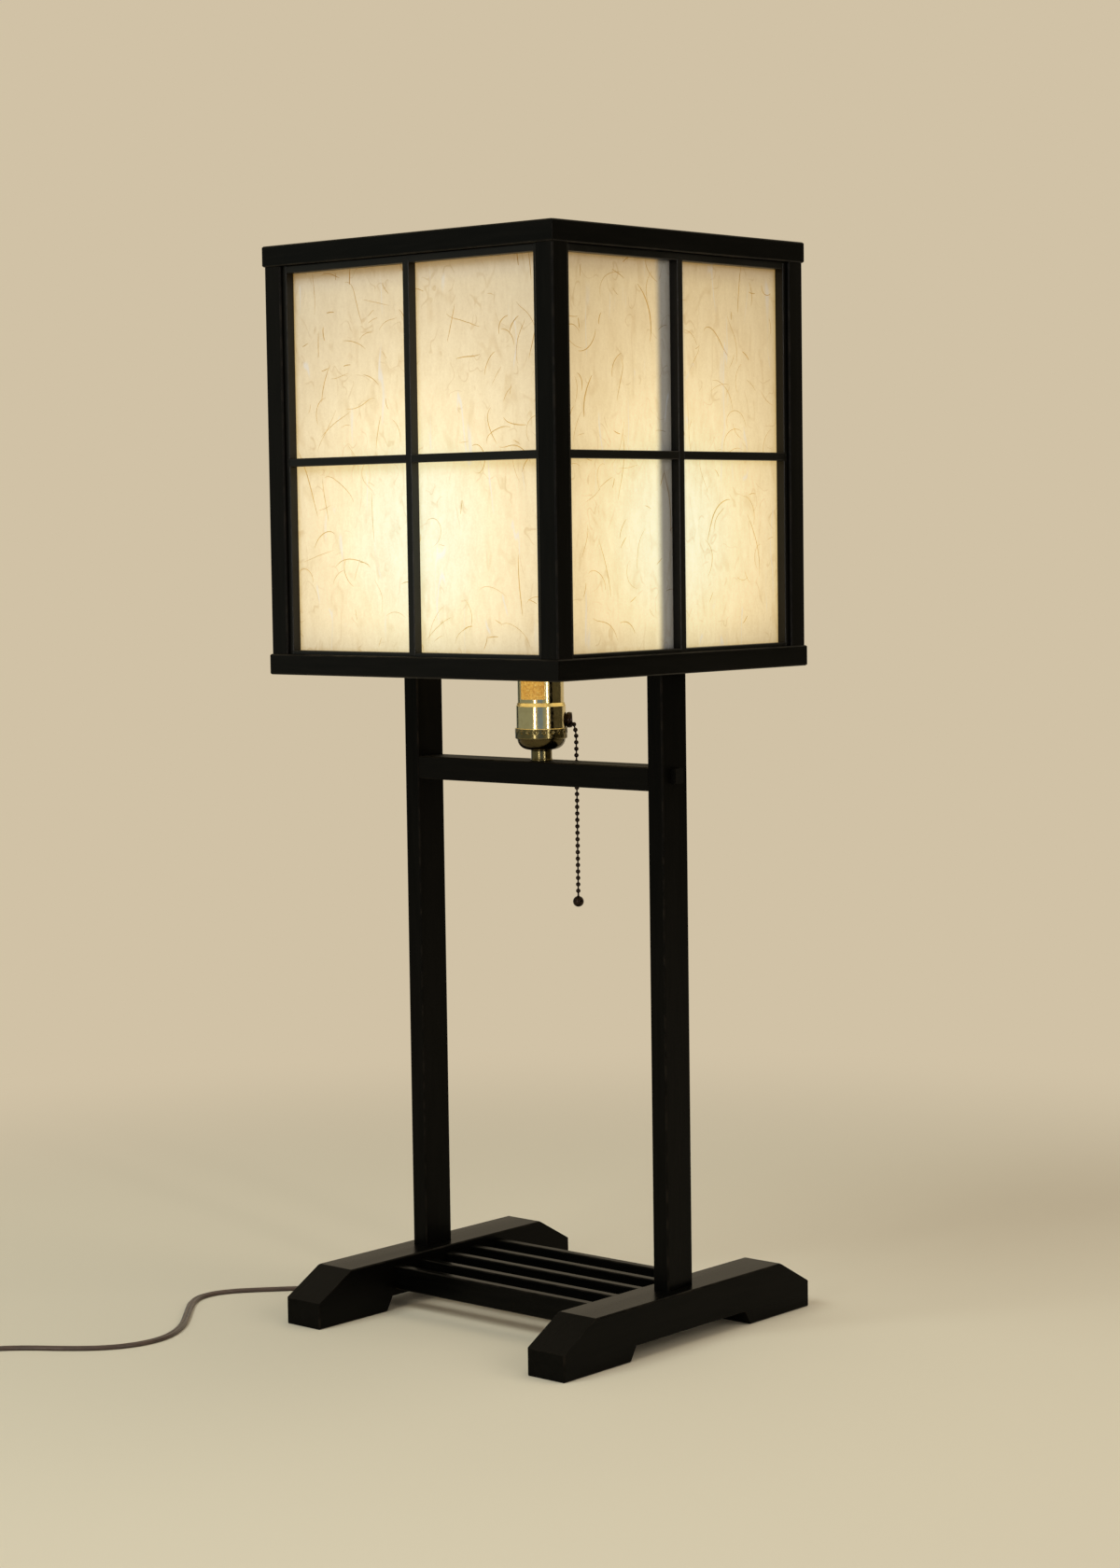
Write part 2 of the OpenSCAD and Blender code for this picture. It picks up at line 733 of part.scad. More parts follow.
// The tail leaves the upper layer and rises a little to the plug, which lies on its flat side
function tail_point(s) = [
    coil_end[0],
    coil_end[1] + s,
    coil_end[2] + (plug_t / 2 - coil_end[2]) * smooth(s / tail_rise_l)
];
coil_route = concat(
    [lead_end, [lead_end[0], (lead_end[1] + coil_centre[1]) / 2, floor_z]],
    [for (i = [0:coil_loops * loop_rings]) coil_point(i / loop_rings)],
    [for (s = [3, 6, tail_rise_l, tail_l]) tail_point(s)]
);

function route_length(r, i = 0) = i < len(r) - 1 ? norm(r[i + 1] - r[i]) + route_length(r, i + 1) : 0;
function least_gap(r, near) = min([
    for (i = [0:len(r) - 1]) for (j = [i + near:1:len(r) - 1])
        let (d = r[i] - r[j]) max(norm([d[0], d[1]]) - cord_w, abs(d[2]) - cord_t)
]);

module power_cord() {
    color(brown_cord) cord_tube(lead_route, plain_ring);
}

module cord_coil() {
    echo(free_cord_mm = route_length(lead_route) + route_length(coil_route), gap_mm = least_gap(coil_route, 12));
    color(brown_cord) cord_tube(coil_route, coil_ring);
}

// Two-blade plug with a tapered strain relief
module plug_place() {
    translate([coil_end[0], coil_end[1] + tail_l, 0]) children();
}

// Half outline of the plug from the relief's tip to its front, for a tip, a foot and a full half width
function plug_side(tip, foot, half) = [
    [0, tip / 2], [relief_l, foot / 2], [relief_l + plug_neck_l, half],
    [plug_body_l - plug_round, half], [plug_body_l, half - plug_round]
];

module plug_outline(tip, foot, half) {
    side = plug_side(tip, foot, half);
    polygon(concat(side, [for (i = [len(side) - 1:-1:0]) [side[i][0], -side[i][1]]]));
}

module plug_body() {
    color(brown_plastic) plug_place() intersection() {
        linear_extrude(height = plug_t) rotate([0, 0, 90]) plug_outline(relief_tip[0], relief_foot[0], plug_w / 2);
        translate([0, 0, plug_t / 2]) rotate([90, 0, 90]) linear_extrude(height = plug_w, center = true)
            plug_outline(relief_tip[1], relief_foot[1], plug_t / 2);
    }
}

module plug_blades() {
    color(bright_brass) plug_place() for (s = [-1, 1])
        box(blade, [s * blade_gap / 2, plug_body_l + blade[1] / 2, (plug_t - blade[2]) / 2]);
}

left_foot();
right_foot();
left_post();
right_post();
crossbar();
for (i = [0:slat_n - 1]) color(black_wood) slat(i);
for (i = [0:3]) {
    top_rail(i);
    bottom_rail(i);
    corner_post(i);
    lattice_frame(i);
    upright_bar(i);
    cross_bar(i);
    paper(i);
}
cleat(-1);  // left_cleat
cleat(1);  // right_cleat
threaded_nipple();
locknut();
brass_neck();
socket_cap();
socket_shell();
insulating_sleeve();
socket_body();
screw_shell();
chain_bell();
feed_ball();
chain_lead();
pull_chain();
bulb_contact();
bulb_base();
bulb_glass();
stand_cord();
power_cord();
cord_coil();
plug_body();
plug_blades();
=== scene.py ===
"""Looks of a table lamp with a paper-and-lattice shade, built round its fixed frame.

Everything is in metres in the frame's own axes: X along the crossbar, Y along the feet, Z up. Each part of
the lamp is a class that holds its sizes and makes its pieces, and each finish is a small class that makes its
material. Turned pieces have their sizes in millimetres, as a lathe drawing would.
"""

import logging
import math
import random
from collections.abc import Callable, Sequence
from dataclasses import dataclass, field
from enum import Enum
from functools import reduce
from itertools import pairwise, product

import bmesh
import bpy
from mathutils import Matrix, Vector, noise
from mathutils.geometry import interpolate_bezier

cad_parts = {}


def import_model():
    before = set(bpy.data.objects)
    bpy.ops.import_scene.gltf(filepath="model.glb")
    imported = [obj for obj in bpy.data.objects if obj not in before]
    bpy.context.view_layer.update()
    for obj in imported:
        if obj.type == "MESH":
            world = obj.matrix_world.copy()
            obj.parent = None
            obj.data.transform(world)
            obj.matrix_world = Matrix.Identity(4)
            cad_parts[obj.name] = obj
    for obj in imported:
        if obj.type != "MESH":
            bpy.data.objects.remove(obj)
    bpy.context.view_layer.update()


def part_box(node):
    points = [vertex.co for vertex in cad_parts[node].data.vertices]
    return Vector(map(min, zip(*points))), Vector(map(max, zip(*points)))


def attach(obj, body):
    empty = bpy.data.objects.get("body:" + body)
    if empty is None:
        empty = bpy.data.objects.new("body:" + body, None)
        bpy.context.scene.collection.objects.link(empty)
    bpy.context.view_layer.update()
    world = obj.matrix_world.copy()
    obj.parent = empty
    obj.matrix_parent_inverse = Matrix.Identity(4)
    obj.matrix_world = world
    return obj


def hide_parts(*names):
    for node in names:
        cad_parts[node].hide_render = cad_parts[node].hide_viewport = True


LOG = logging.getLogger("lamp")
MM = 0.001
MERGED = 1e-7
BULB_PITCH = 3.629
SIDES = ("front", "right", "back", "left")

Colour = tuple[float, float, float, float]
Place = tuple[float, float]
Outline = Sequence[Place]
Solid = bmesh.types.BMesh
Piece = bpy.types.Object
Material = bpy.types.Material
Tree = bpy.types.NodeTree
Wire = bpy.types.NodeSocket

WHITE: Colour = (1.0, 1.0, 1.0, 1.0)


class Slot(Enum):
    """Material slots of the record."""

    WOOD = "black_wood"
    PAPER = "shade_paper"
    BRASS = "bright_brass"
    OLD_BRASS = "aged_brass"
    BRONZE = "dark_bronze"
    BOARD = "fibre_board"
    MOULDING = "brown_moulding"
    SOLDER = "solder"
    GLASS = "frosted_glass"
    VINYL = "cord_vinyl"


class Grain(Enum):
    """The axis along which the grain of a wooden piece runs, as a stretch of its pattern."""

    ALONG_X = (0.08, 1.0, 1.0)
    ALONG_Y = (1.0, 0.08, 1.0)
    ALONG_Z = (1.0, 1.0, 0.08)


class Coat(Enum):
    """How much gloss the black paint has on the parts of the lamp, with its least and most roughness."""

    STAND = (0.050, 0.22, 0.32)
    CROSSBAR = (0.075, 0.52, 0.64)
    SHADE = (0.095, 0.28, 0.42)
    LATTICE = (0.30, 0.28, 0.40)


def linear(red: int, green: int, blue: int) -> Colour:
    """Turns a screen colour into the linear values that shaders take.

    Args:
        red: Red from 0 to 255.
        green: Green from 0 to 255.
        blue: Blue from 0 to 255.

    Returns:
        The colour as four linear floats.
    """

    def channel(value: int) -> float:
        """One channel through the screen's curve."""
        share = value / 255
        return share / 12.92 if share <= 0.04045 else ((share + 0.055) / 1.055) ** 2.4

    return (channel(red), channel(green), channel(blue), 1.0)


def smoothstep(share: float) -> float:
    """Eases a share from 0 to 1."""
    held = min(1.0, max(0.0, share))
    return held * held * (3 - 2 * held)


def arc(centre: Place, radius: float, start: float, end: float, steps: int) -> list[Place]:
    """Points of an arc in a turned outline.

    Args:
        centre: Its centre as (distance from the axis, height).
        radius: Its radius.
        start: First angle in degrees, from the outward direction towards up.
        end: Last angle in degrees.
        steps: Number of chords.

    Returns:
        The points, both ends included.
    """
    turns = [math.radians(start + (end - start) * i / steps) for i in range(steps + 1)]
    return [(centre[0] + radius * math.cos(a), centre[1] + radius * math.sin(a)) for a in turns]


def ladder(radius: float, low: float, high: float, step: float) -> list[Place]:
    """Points up or down a straight wall, about a step apart, for a wall that is shaped further."""
    count = max(1, round(abs(high - low) / step))
    return [(radius, low + (high - low) * i / count) for i in range(count + 1)]


def directions(line: Sequence[Vector]) -> list[Vector]:
    """The way that a line runs at each point, from the points before and after it."""
    last = len(line) - 1
    return [(line[min(i + 1, last)] - line[max(i - 1, 0)]).normalized() for i in range(last + 1)]


# Node trees


@dataclass
class Graph:
    """A node tree under construction."""

    tree: Tree

    def node(self, kind: str, inputs: dict | None = None, **settings: object) -> bpy.types.Node:
        """Adds a node.

        Args:
            kind: The node's type name.
            inputs: Values or output sockets for its inputs, by name or number.
            settings: The node's own properties.

        Returns:
            The new node.
        """
        made = self.tree.nodes.new(kind)
        for name, value in settings.items():
            setattr(made, name, value)
        self.feed(made, inputs or {})
        return made

    def feed(self, node: bpy.types.Node, inputs: dict) -> None:
        """Sets or links a node's inputs.

        Args:
            node: The node.
            inputs: Values or output sockets, by the name or number of the input.
        """
        for key, value in inputs.items():
            if isinstance(value, Wire):
                self.tree.links.new(value, node.inputs[key])
            else:
                node.inputs[key].default_value = value

    def group(self, tree: Tree, inputs: dict[str, object]) -> bpy.types.bpy_prop_collection:
        """Places a shader node group with its own values, and returns its outputs."""
        return self.node("ShaderNodeGroup", inputs, node_tree=tree).outputs

    def math(self, operation: str, *values: object) -> Wire:
        """Adds a Math node and returns its output."""
        return self.node("ShaderNodeMath", dict(enumerate(values)), operation=operation).outputs[0]

    def times(self, first: object, second: object) -> Wire:
        """Multiplies two values."""
        return self.math("MULTIPLY", first, second)

    def off(self, value: object, middle: object) -> Wire:
        """How far a value lies from a middle, to either side."""
        return self.math("ABSOLUTE", self.math("SUBTRACT", value, middle))

    def weighted(self, *parts: tuple[object, float]) -> Wire:
        """Adds values, each times its own share."""
        terms = [self.times(value, share) for value, share in parts]
        return reduce(lambda total, term: self.math("ADD", total, term), terms)

    def mix(self, factor: object, first: object, second: object, blend: str = "MIX") -> Wire:
        """Adds a colour Mix node and returns its output."""
        inputs = {0: factor, 6: first, 7: second}
        return self.node("ShaderNodeMix", inputs, data_type="RGBA", blend_type=blend).outputs[2]

    def tint(self, colour: object, by: object) -> Wire:
        """Multiplies two colours."""
        return self.mix(1.0, colour, by, "MULTIPLY")

    def grey(self, value: object) -> Wire:
        """Makes a grey of a value."""
        return self.node("ShaderNodeCombineColor", {0: value, 1: value, 2: value}).outputs[0]

    def span(
        self, value: object, low: float, high: float, start: float = 0.0, end: float = 1.0,
        way: str = "LINEAR",
    ) -> Wire:
        """Maps low to high onto start to end, in a straight line unless another way is named."""
        ends = {"Value": value, "From Min": low, "From Max": high, "To Min": start, "To Max": end}
        return self.node("ShaderNodeMapRange", ends, interpolation_type=way).outputs["Result"]

    def eased(self, value: object, low: float, high: float, start: float = 0.0, end: float = 1.0) -> Wire:
        """Maps low to high onto start to end with eased ends."""
        return self.span(value, low, high, start, end, "SMOOTHSTEP")

    def noise(self, vector: object, scale: object, detail: float = 2.0, distortion: float = 0.0) -> Wire:
        """Adds a noise pattern and returns its value."""
        settings = {"Vector": vector, "Scale": scale, "Detail": detail, "Distortion": distortion}
        return self.node("ShaderNodeTexNoise", settings).outputs["Fac"]

    def axes(self, vector: object) -> bpy.types.bpy_prop_collection:
        """Parts a place into its X, Y and Z."""
        return self.node("ShaderNodeSeparateXYZ", {0: vector}).outputs

    def stretched(self, stretch: Sequence[float] = (1.0, 1.0, 1.0)) -> Wire:
        """Object coordinates through a Mapping node that stretches a pattern."""
        place = self.node("ShaderNodeTexCoord").outputs["Object"]
        return self.node("ShaderNodeMapping", {"Vector": place, "Scale": tuple(stretch)}).outputs[0]

    def marked(self, name: str) -> Wire:
        """Reads the face attribute in which the meshes mark some of their faces."""
        return self.node("ShaderNodeAttribute", attribute_name=name).outputs["Fac"]

    def bumped(self, height: object, strength: float, distance: float) -> Wire:
        """Adds a Bump node and returns its normal."""
        values = {"Height": height, "Strength": strength, "Distance": distance}
        return self.node("ShaderNodeBump", values).outputs["Normal"]


def new_group(
    name: str, inputs: dict[str, str], outputs: dict[str, str]
) -> tuple[Graph, dict[str, Wire], bpy.types.Node]:
    """Starts a shader node group.

    Args:
        name: The group's name.
        inputs: Its input names with Float, Color or Vector.
        outputs: Its output names with Float or Color.

    Returns:
        Its graph, the sockets of its inputs by name, and its output node.
    """
    tree = bpy.data.node_groups.new(name, "ShaderNodeTree")
    for names, way in ((inputs, "INPUT"), (outputs, "OUTPUT")):
        for label, kind in names.items():
            tree.interface.new_socket(name=label, in_out=way, socket_type=f"NodeSocket{kind}")
    graph = Graph(tree)
    entry = graph.node("NodeGroupInput")
    return graph, {label: entry.outputs[label] for label in inputs}, graph.node("NodeGroupOutput")


def painted_grain_group() -> Tree:
    """Builds brushed paint over wood, from coordinates that are stretched along the grain.

    Returns:
        The group, with the paint's tone, sheen and height.
    """
    graph, given, out = new_group(
        "painted grain",
        {"Vector": "Vector", "Fineness": "Float"},
        {"Tone": "Float", "Sheen": "Float", "Height": "Float"},
    )
    streaks = graph.noise(given["Vector"], scale=given["Fineness"], detail=5.0, distortion=0.4)
    cloud = graph.noise(given["Vector"], scale=26.0, detail=3.0)
    skin = graph.noise(given["Vector"], scale=1500.0, detail=1.0)
    graph.feed(out, {
        "Tone": graph.eased(graph.weighted((streaks, 0.55), (cloud, 0.45)), 0.38, 0.66),
        "Sheen": graph.eased(cloud, 0.3, 0.7),
        "Height": graph.weighted((streaks, 0.8), (skin, 0.2)),
    })
    return graph.tree


def edge_wear_group() -> Tree:
    """Builds the mask of where handling has rubbed the arrises, which the meshes mark.

    Returns:
        The group, with the mask.
    """
    graph, given, out = new_group("edge wear", {"Vector": "Vector", "Amount": "Float"}, {"Mask": "Float"})
    patches = graph.eased(graph.noise(given["Vector"], scale=95.0, detail=3.0), 0.42, 0.68, 0.12)
    graph.feed(out, {"Mask": graph.times(graph.times(graph.marked("arris"), patches), given["Amount"])})
    return graph.tree


def handled_metal_group() -> Tree:
    """Builds finger marks, fine lathe lines and tarnish on metal, from plain coordinates.

    Returns:
        The group, with stain, blur and height.
    """
    graph, given, out = new_group(
        "handled metal",
        {"Vector": "Vector", "Tarnish": "Float"},
        {"Stain": "Float", "Blur": "Float", "Height": "Float"},
    )
    stains = graph.eased(graph.noise(given["Vector"], scale=170.0, detail=4.0, distortion=0.6), 0.45, 0.72)
    close = {0: given["Vector"], 1: (30.0, 30.0, 2600.0)}
    rings = graph.node("ShaderNodeVectorMath", close, operation="MULTIPLY").outputs["Vector"]
    graph.feed(out, {
        "Stain": graph.times(stains, given["Tarnish"]),
        "Blur": graph.eased(graph.noise(given["Vector"], scale=420.0, detail=2.0), 0.35, 0.75),
        "Height": graph.noise(rings, scale=1.0, detail=1.0),
    })
    return graph.tree


def fibre_lines_group() -> Tree:
    """Builds soft curly fibres: the level lines of one noise, broken into lengths by another.

    Returns:
        The group, with the mask of the lines.
    """
    graph, given, out = new_group(
        "fibre lines",
        {"Vector": "Vector", "Scale": "Float", "Width": "Float", "Sparse": "Float"},
        {"Line": "Float"},
    )
    level = graph.off(graph.noise(given["Vector"], scale=given["Scale"], detail=1.2, distortion=0.5), 0.5)
    line = graph.eased(graph.math("DIVIDE", level, given["Width"]), 0.15, 1.0, 1.0, 0.0)
    lengths = graph.noise(given["Vector"], scale=64.0, detail=1.0)
    shown = graph.eased(graph.math("SUBTRACT", lengths, given["Sparse"]), 0.0, 0.09)
    graph.feed(out, {"Line": graph.times(line, shown)})
    return graph.tree


@dataclass(frozen=True)
class LampGlow:
    """Light of the bulb on the paper.

    A place on a sheet gets light by its distance from the bulb. The posts, which stand just inside the left
    and right sheets, keep it off a strip there, the cleats off the topmost edge, and the bottom rails off
    the edge above them.
    """

    bulb_height: float = 0.540
    sheet_distance: float = 0.119
    falloff: float = 1.2
    dim: float = 0.20
    side_sheets: float = 0.1185
    post_middle: float = -0.0026
    post_half: float = 0.0124
    post_fade: float = 0.0085
    behind_post: float = 0.01
    top_edge: Place = (0.699, 0.723)
    under_top: Colour = (0.50, 0.38, 0.14, 1.0)
    sill: Place = (0.460, 0.490)
    at_sill: float = 0.80
    stops: tuple[tuple[float, Colour], ...] = (
        (0.0, (0.165, 0.095, 0.020, 1.0)),
        (0.239, (0.295, 0.192, 0.051, 1.0)),
        (0.477, (0.496, 0.344, 0.125, 1.0)),
        (0.708, (0.700, 0.530, 0.235, 1.0)),
        (0.814, (0.730, 0.600, 0.290, 1.0)),
        (1.0, (0.738, 0.700, 0.440, 1.0)),
    )

    def group(self) -> Tree:
        """Builds the node group.

        Returns:
            The group, with a Vector input in the lamp's own coordinates and a Glow output.
        """
        graph, given, out = new_group("lamp glow", {"Vector": "Vector"}, {"Glow": "Color"})
        axes = graph.axes(given["Vector"])
        bulb = {0: given["Vector"], 1: (0.0, 0.0, self.bulb_height)}
        away = graph.node("ShaderNodeVectorMath", bulb, operation="DISTANCE").outputs["Value"]
        light = graph.math("POWER", graph.math("DIVIDE", self.sheet_distance, away), self.falloff)
        ramp = graph.node("ShaderNodeValToRGB", {0: graph.span(light, self.dim, 1.0)})
        colours = ramp.color_ramp.elements
        for place, colour in self.stops[1:-1]:
            colours.new(place).color = colour
        colours[0].color, colours[-1].color = self.stops[0][1], self.stops[-1][1]
        topmost = graph.mix(graph.eased(axes["Z"], *self.top_edge), WHITE, self.under_top)
        over_sill = graph.eased(axes["Z"], *self.sill, self.at_sill)
        post_side = graph.math("GREATER_THAN", graph.math("ABSOLUTE", axes["X"]), self.side_sheets)
        reach = (self.post_half - self.post_fade / 2, self.post_half + self.post_fade / 2)
        dark = graph.eased(graph.off(axes["Y"], self.post_middle), *reach, 1.0 - self.behind_post, 0.0)
        clear = graph.math("SUBTRACT", 1.0, graph.times(post_side, dark))
        lit = graph.tint(ramp.outputs["Color"], topmost)
        graph.feed(out, {"Glow": graph.tint(lit, graph.grey(graph.times(over_sill, clear)))})
        return graph.tree


# Finishes


@dataclass(frozen=True)
class Effects:
    """The node groups that the finishes share, built once."""

    grain: Tree
    wear: Tree
    metal: Tree
    glow: Tree
    fibres: Tree

    @staticmethod
    def build() -> "Effects":
        """Builds every group."""
        return Effects(
            grain=painted_grain_group(),
            wear=edge_wear_group(),
            metal=handled_metal_group(),
            glow=LampGlow().group(),
            fibres=fibre_lines_group(),
        )


@dataclass(frozen=True)
class Dressing:
    """A finish as a piece takes it: the record's slot, and the materials in slot order."""

    slot: Slot
    materials: tuple[Material, ...]

    @staticmethod
    def of(slot: Slot, *materials: Material) -> "Dressing":
        """Puts materials under a slot."""
        return Dressing(slot, materials)


def new_material(name: str) -> tuple[Material, Graph, bpy.types.Node]:
    """Starts a material.

    Args:
        name: The material's name.

    Returns:
        The material, its graph, and its Principled shader.
    """
    material = bpy.data.materials.new(name)
    material.use_nodes = True
    return material, Graph(material.node_tree), material.node_tree.nodes["Principled BSDF"]


@dataclass(frozen=True)
class BlackPaint:
    """Satin black paint, brushed on, with the wood's grain faintly under it."""

    deep: Colour = linear(3, 3, 2)
    worn_thin: Colour = linear(8, 7, 5)
    rubbed: Colour = linear(56, 48, 38)
    wear: float = 0.22
    fineness: float = 340.0

    def material(self, effects: Effects, coat: Coat, grain: Grain) -> Material:
        """Makes the paint for pieces whose grain runs along one axis.

        Args:
            effects: The shared node groups.
            coat: Which part of the lamp it covers.
            grain: The axis of the grain.

        Returns:
            The material.
        """
        gloss, smooth, rough = coat.value
        label = f"black paint {coat.name} {grain.name}".lower().replace("_", " ")
        material, graph, shader = new_material(label)
        along = graph.stretched(grain.value)
        paint = graph.group(effects.grain, {"Vector": along, "Fineness": self.fineness})
        wear = graph.group(effects.wear, {"Vector": graph.stretched(), "Amount": self.wear})["Mask"]
        graph.feed(shader, {
            "Base Color": graph.mix(wear, graph.mix(paint["Tone"], self.deep, self.worn_thin), self.rubbed),
            "Roughness": graph.span(paint["Sheen"], 0.0, 1.0, smooth, rough),
            "Specular IOR Level": gloss,
            "Normal": graph.bumped(paint["Height"], 0.12, 0.0004),
        })
        return material


@dataclass(frozen=True)
class FibrePattern:
    """One kind of fine fibre that is drawn in the paper rather than modelled on it."""

    stretch: tuple[float, float, float]
    scale: float
    width: float
    sparse: float

    def lines(self, graph: Graph, effects: Effects) -> Wire:
        """Places the fibres in a material.

        Args:
            graph: The material's graph.
            effects: The shared node groups.

        Returns:
            The mask of their lines.
        """
        return graph.group(effects.fibres, {
            "Vector": graph.stretched(self.stretch),
            "Scale": self.scale,
            "Width": self.width,
            "Sparse": self.sparse,
        })["Line"]


@dataclass(frozen=True)
class FibrePaper:
    """Translucent fibre paper, mottled by its pulp and lit from behind.

    A colour channel of the light that comes through has two values, where the pulp is thin and where it is
    thick. Each pattern of the pulp has the share that it takes in the thickness.
    """

    pulp: Colour = (0.355, 0.345, 0.325, 1.0)
    thick_pulp: Colour = (0.315, 0.300, 0.275, 1.0)
    bark: Colour = (0.200, 0.150, 0.090, 1.0)
    silk: Colour = (0.400, 0.415, 0.455, 1.0)
    through_bark: Colour = (0.76, 0.64, 0.46, 1.0)
    through_silk: Colour = (0.72, 0.75, 0.94, 1.0)
    through: tuple[Place, ...] = ((1.045, 0.945), (1.060, 0.915), (1.110, 0.850))
    laid: tuple[float, float, float] = (1.0, 1.0, 0.30)
    shares: tuple[float, float, float] = (0.36, 0.30, 0.34)
    contrast: Place = (0.30, 0.72)
    fine: FibrePattern = FibrePattern((1.0, 1.0, 0.75), 62.0, 0.020, 0.52)
    broad: FibrePattern = FibrePattern((1.2, 1.2, 0.55), 44.0, 0.055, 0.50)
    silky: FibrePattern = FibrePattern((1.3, 1.3, 0.22), 52.0, 0.022, 0.565)
    fine_strength: float = 0.34
    broad_strength: float = 0.20
    silk_strength: float = 0.6

    def material(self, effects: Effects) -> Material:
        """Makes the paper.

        Args:
            effects: The shared node groups.

        Returns:
            The material.
        """
        material, graph, shader = new_material("fibre paper")
        plain = graph.stretched()
        laid = graph.stretched(self.laid)
        cloud, streaks, fluff = (
            graph.eased(graph.noise(way, scale=scale, detail=4.0, distortion=distortion), *self.contrast)
            for way, scale, distortion in ((laid, 110.0, 0.5), (laid, 300.0, 0.7), (plain, 640.0, 0.8))
        )
        density = graph.weighted(*zip((cloud, streaks, fluff), self.shares))
        fine, broad, silk = (kind.lines(graph, effects) for kind in (self.fine, self.broad, self.silky))
        brown = graph.math(
            "MAXIMUM", graph.times(fine, self.fine_strength), graph.times(broad, self.broad_strength)
        )
        channels = {i: graph.span(density, 0.15, 0.85, *ends) for i, ends in enumerate(self.through)}
        shade = graph.node("ShaderNodeCombineColor", channels).outputs[0]
        shade = graph.mix(brown, shade, graph.tint(shade, self.through_bark))
        shade = graph.mix(graph.times(silk, self.silk_strength), shade, self.through_silk)
        skin = graph.mix(brown, graph.mix(density, self.pulp, self.thick_pulp), self.bark)
        graph.feed(shader, {
            "Base Color": graph.mix(silk, skin, self.silk),
            "Roughness": graph.span(fluff, 0.0, 1.0, 0.72, 0.9),
            "Specular IOR Level": 0.12,
            "Normal": graph.bumped(density, 0.25, 0.0003),
            "Emission Color": graph.tint(graph.group(effects.glow, {"Vector": plain})["Glow"], shade),
            "Emission Strength": 1.0,
        })
        return material


@dataclass(frozen=True)
class FibreStrand:
    """A long bast fibre in the paper, seen against the light."""

    name: str
    bark: Colour
    lets_through: Colour

    def material(self, effects: Effects) -> Material:
        """Makes the strand.

        Args:
            effects: The shared node groups.

        Returns:
            The material.
        """
        material, graph, shader = new_material(self.name)
        plain = graph.stretched()
        uneven = graph.grey(graph.span(graph.noise(plain, scale=260.0, detail=2.0), 0.3, 0.7, 0.82, 1.16))
        lit = graph.tint(graph.group(effects.glow, {"Vector": plain})["Glow"], self.lets_through)
        graph.feed(shader, {
            "Base Color": graph.tint(self.bark, uneven),
            "Roughness": 0.8,
            "Specular IOR Level": 0.1,
            "Emission Color": graph.tint(lit, uneven),
            "Emission Strength": 1.0,
        })
        return material


@dataclass(frozen=True)
class Metal:
    """A metal finish with finger marks and stains.

    It is rubbed bright where the meshes mark an arris; on the socket cap's lip and the shell's shoulder the
    same mark is a painted highlight.
    It is painted dark where the meshes mark the cap's bowl, as painted shade.
    """

    name: str
    bright: Colour
    stained: Colour
    smooth: float
    blurred: float
    tarnish: float
    # The rubbed colour is real wear on worn edges, and a painted highlight on the cap's lip and the shell's
    # shoulder.
    rubbed: Colour = (0.90, 0.74, 0.38, 1.0)
    rubbed_blur: float = 0.32
    # A painted shade colour for the bowl under the socket's cap.
    painted_bowl_shade_colour: Colour = (0.050, 0.038, 0.016, 1.0)

    def material(self, effects: Effects) -> Material:
        """Makes the metal.

        Args:
            effects: The shared node groups.

        Returns:
            The material.
        """
        material, graph, shader = new_material(self.name)
        self.dress(effects, graph, shader)
        return material

    def dress(self, effects: Effects, graph: Graph, shader: bpy.types.Node) -> tuple[Wire, Wire]:
        """Sets the shader of the metal.

        Args:
            effects: The shared node groups.
            graph: The material's graph.
            shader: Its Principled shader.

        Returns:
            The sockets of its colour and its roughness.
        """
        surface = graph.group(effects.metal, {"Vector": graph.stretched(), "Tarnish": self.tarnish})
        rims_and_highlights = graph.marked("arris")
        worn = graph.mix(surface["Stain"], self.bright, self.stained)
        # The rim mark gives rubbed brass on worn edges and a painted highlight on the cap's lip and shell's
        # shoulder; the bowl mark gives painted shade.
        colour = graph.mix(rims_and_highlights, graph.mix(graph.marked("grime"), worn, self.painted_bowl_shade_colour), self.rubbed)
        handled = graph.span(surface["Blur"], 0.0, 1.0, self.smooth, self.blurred)
        roughness = graph.math("MAXIMUM", handled, graph.times(rims_and_highlights, self.rubbed_blur))
        graph.feed(shader, {
            "Base Color": colour,
            "Metallic": 1.0,
            "Roughness": roughness,
            "Normal": graph.bumped(surface["Height"], 0.03, 0.0001),
        })
        return colour, roughness


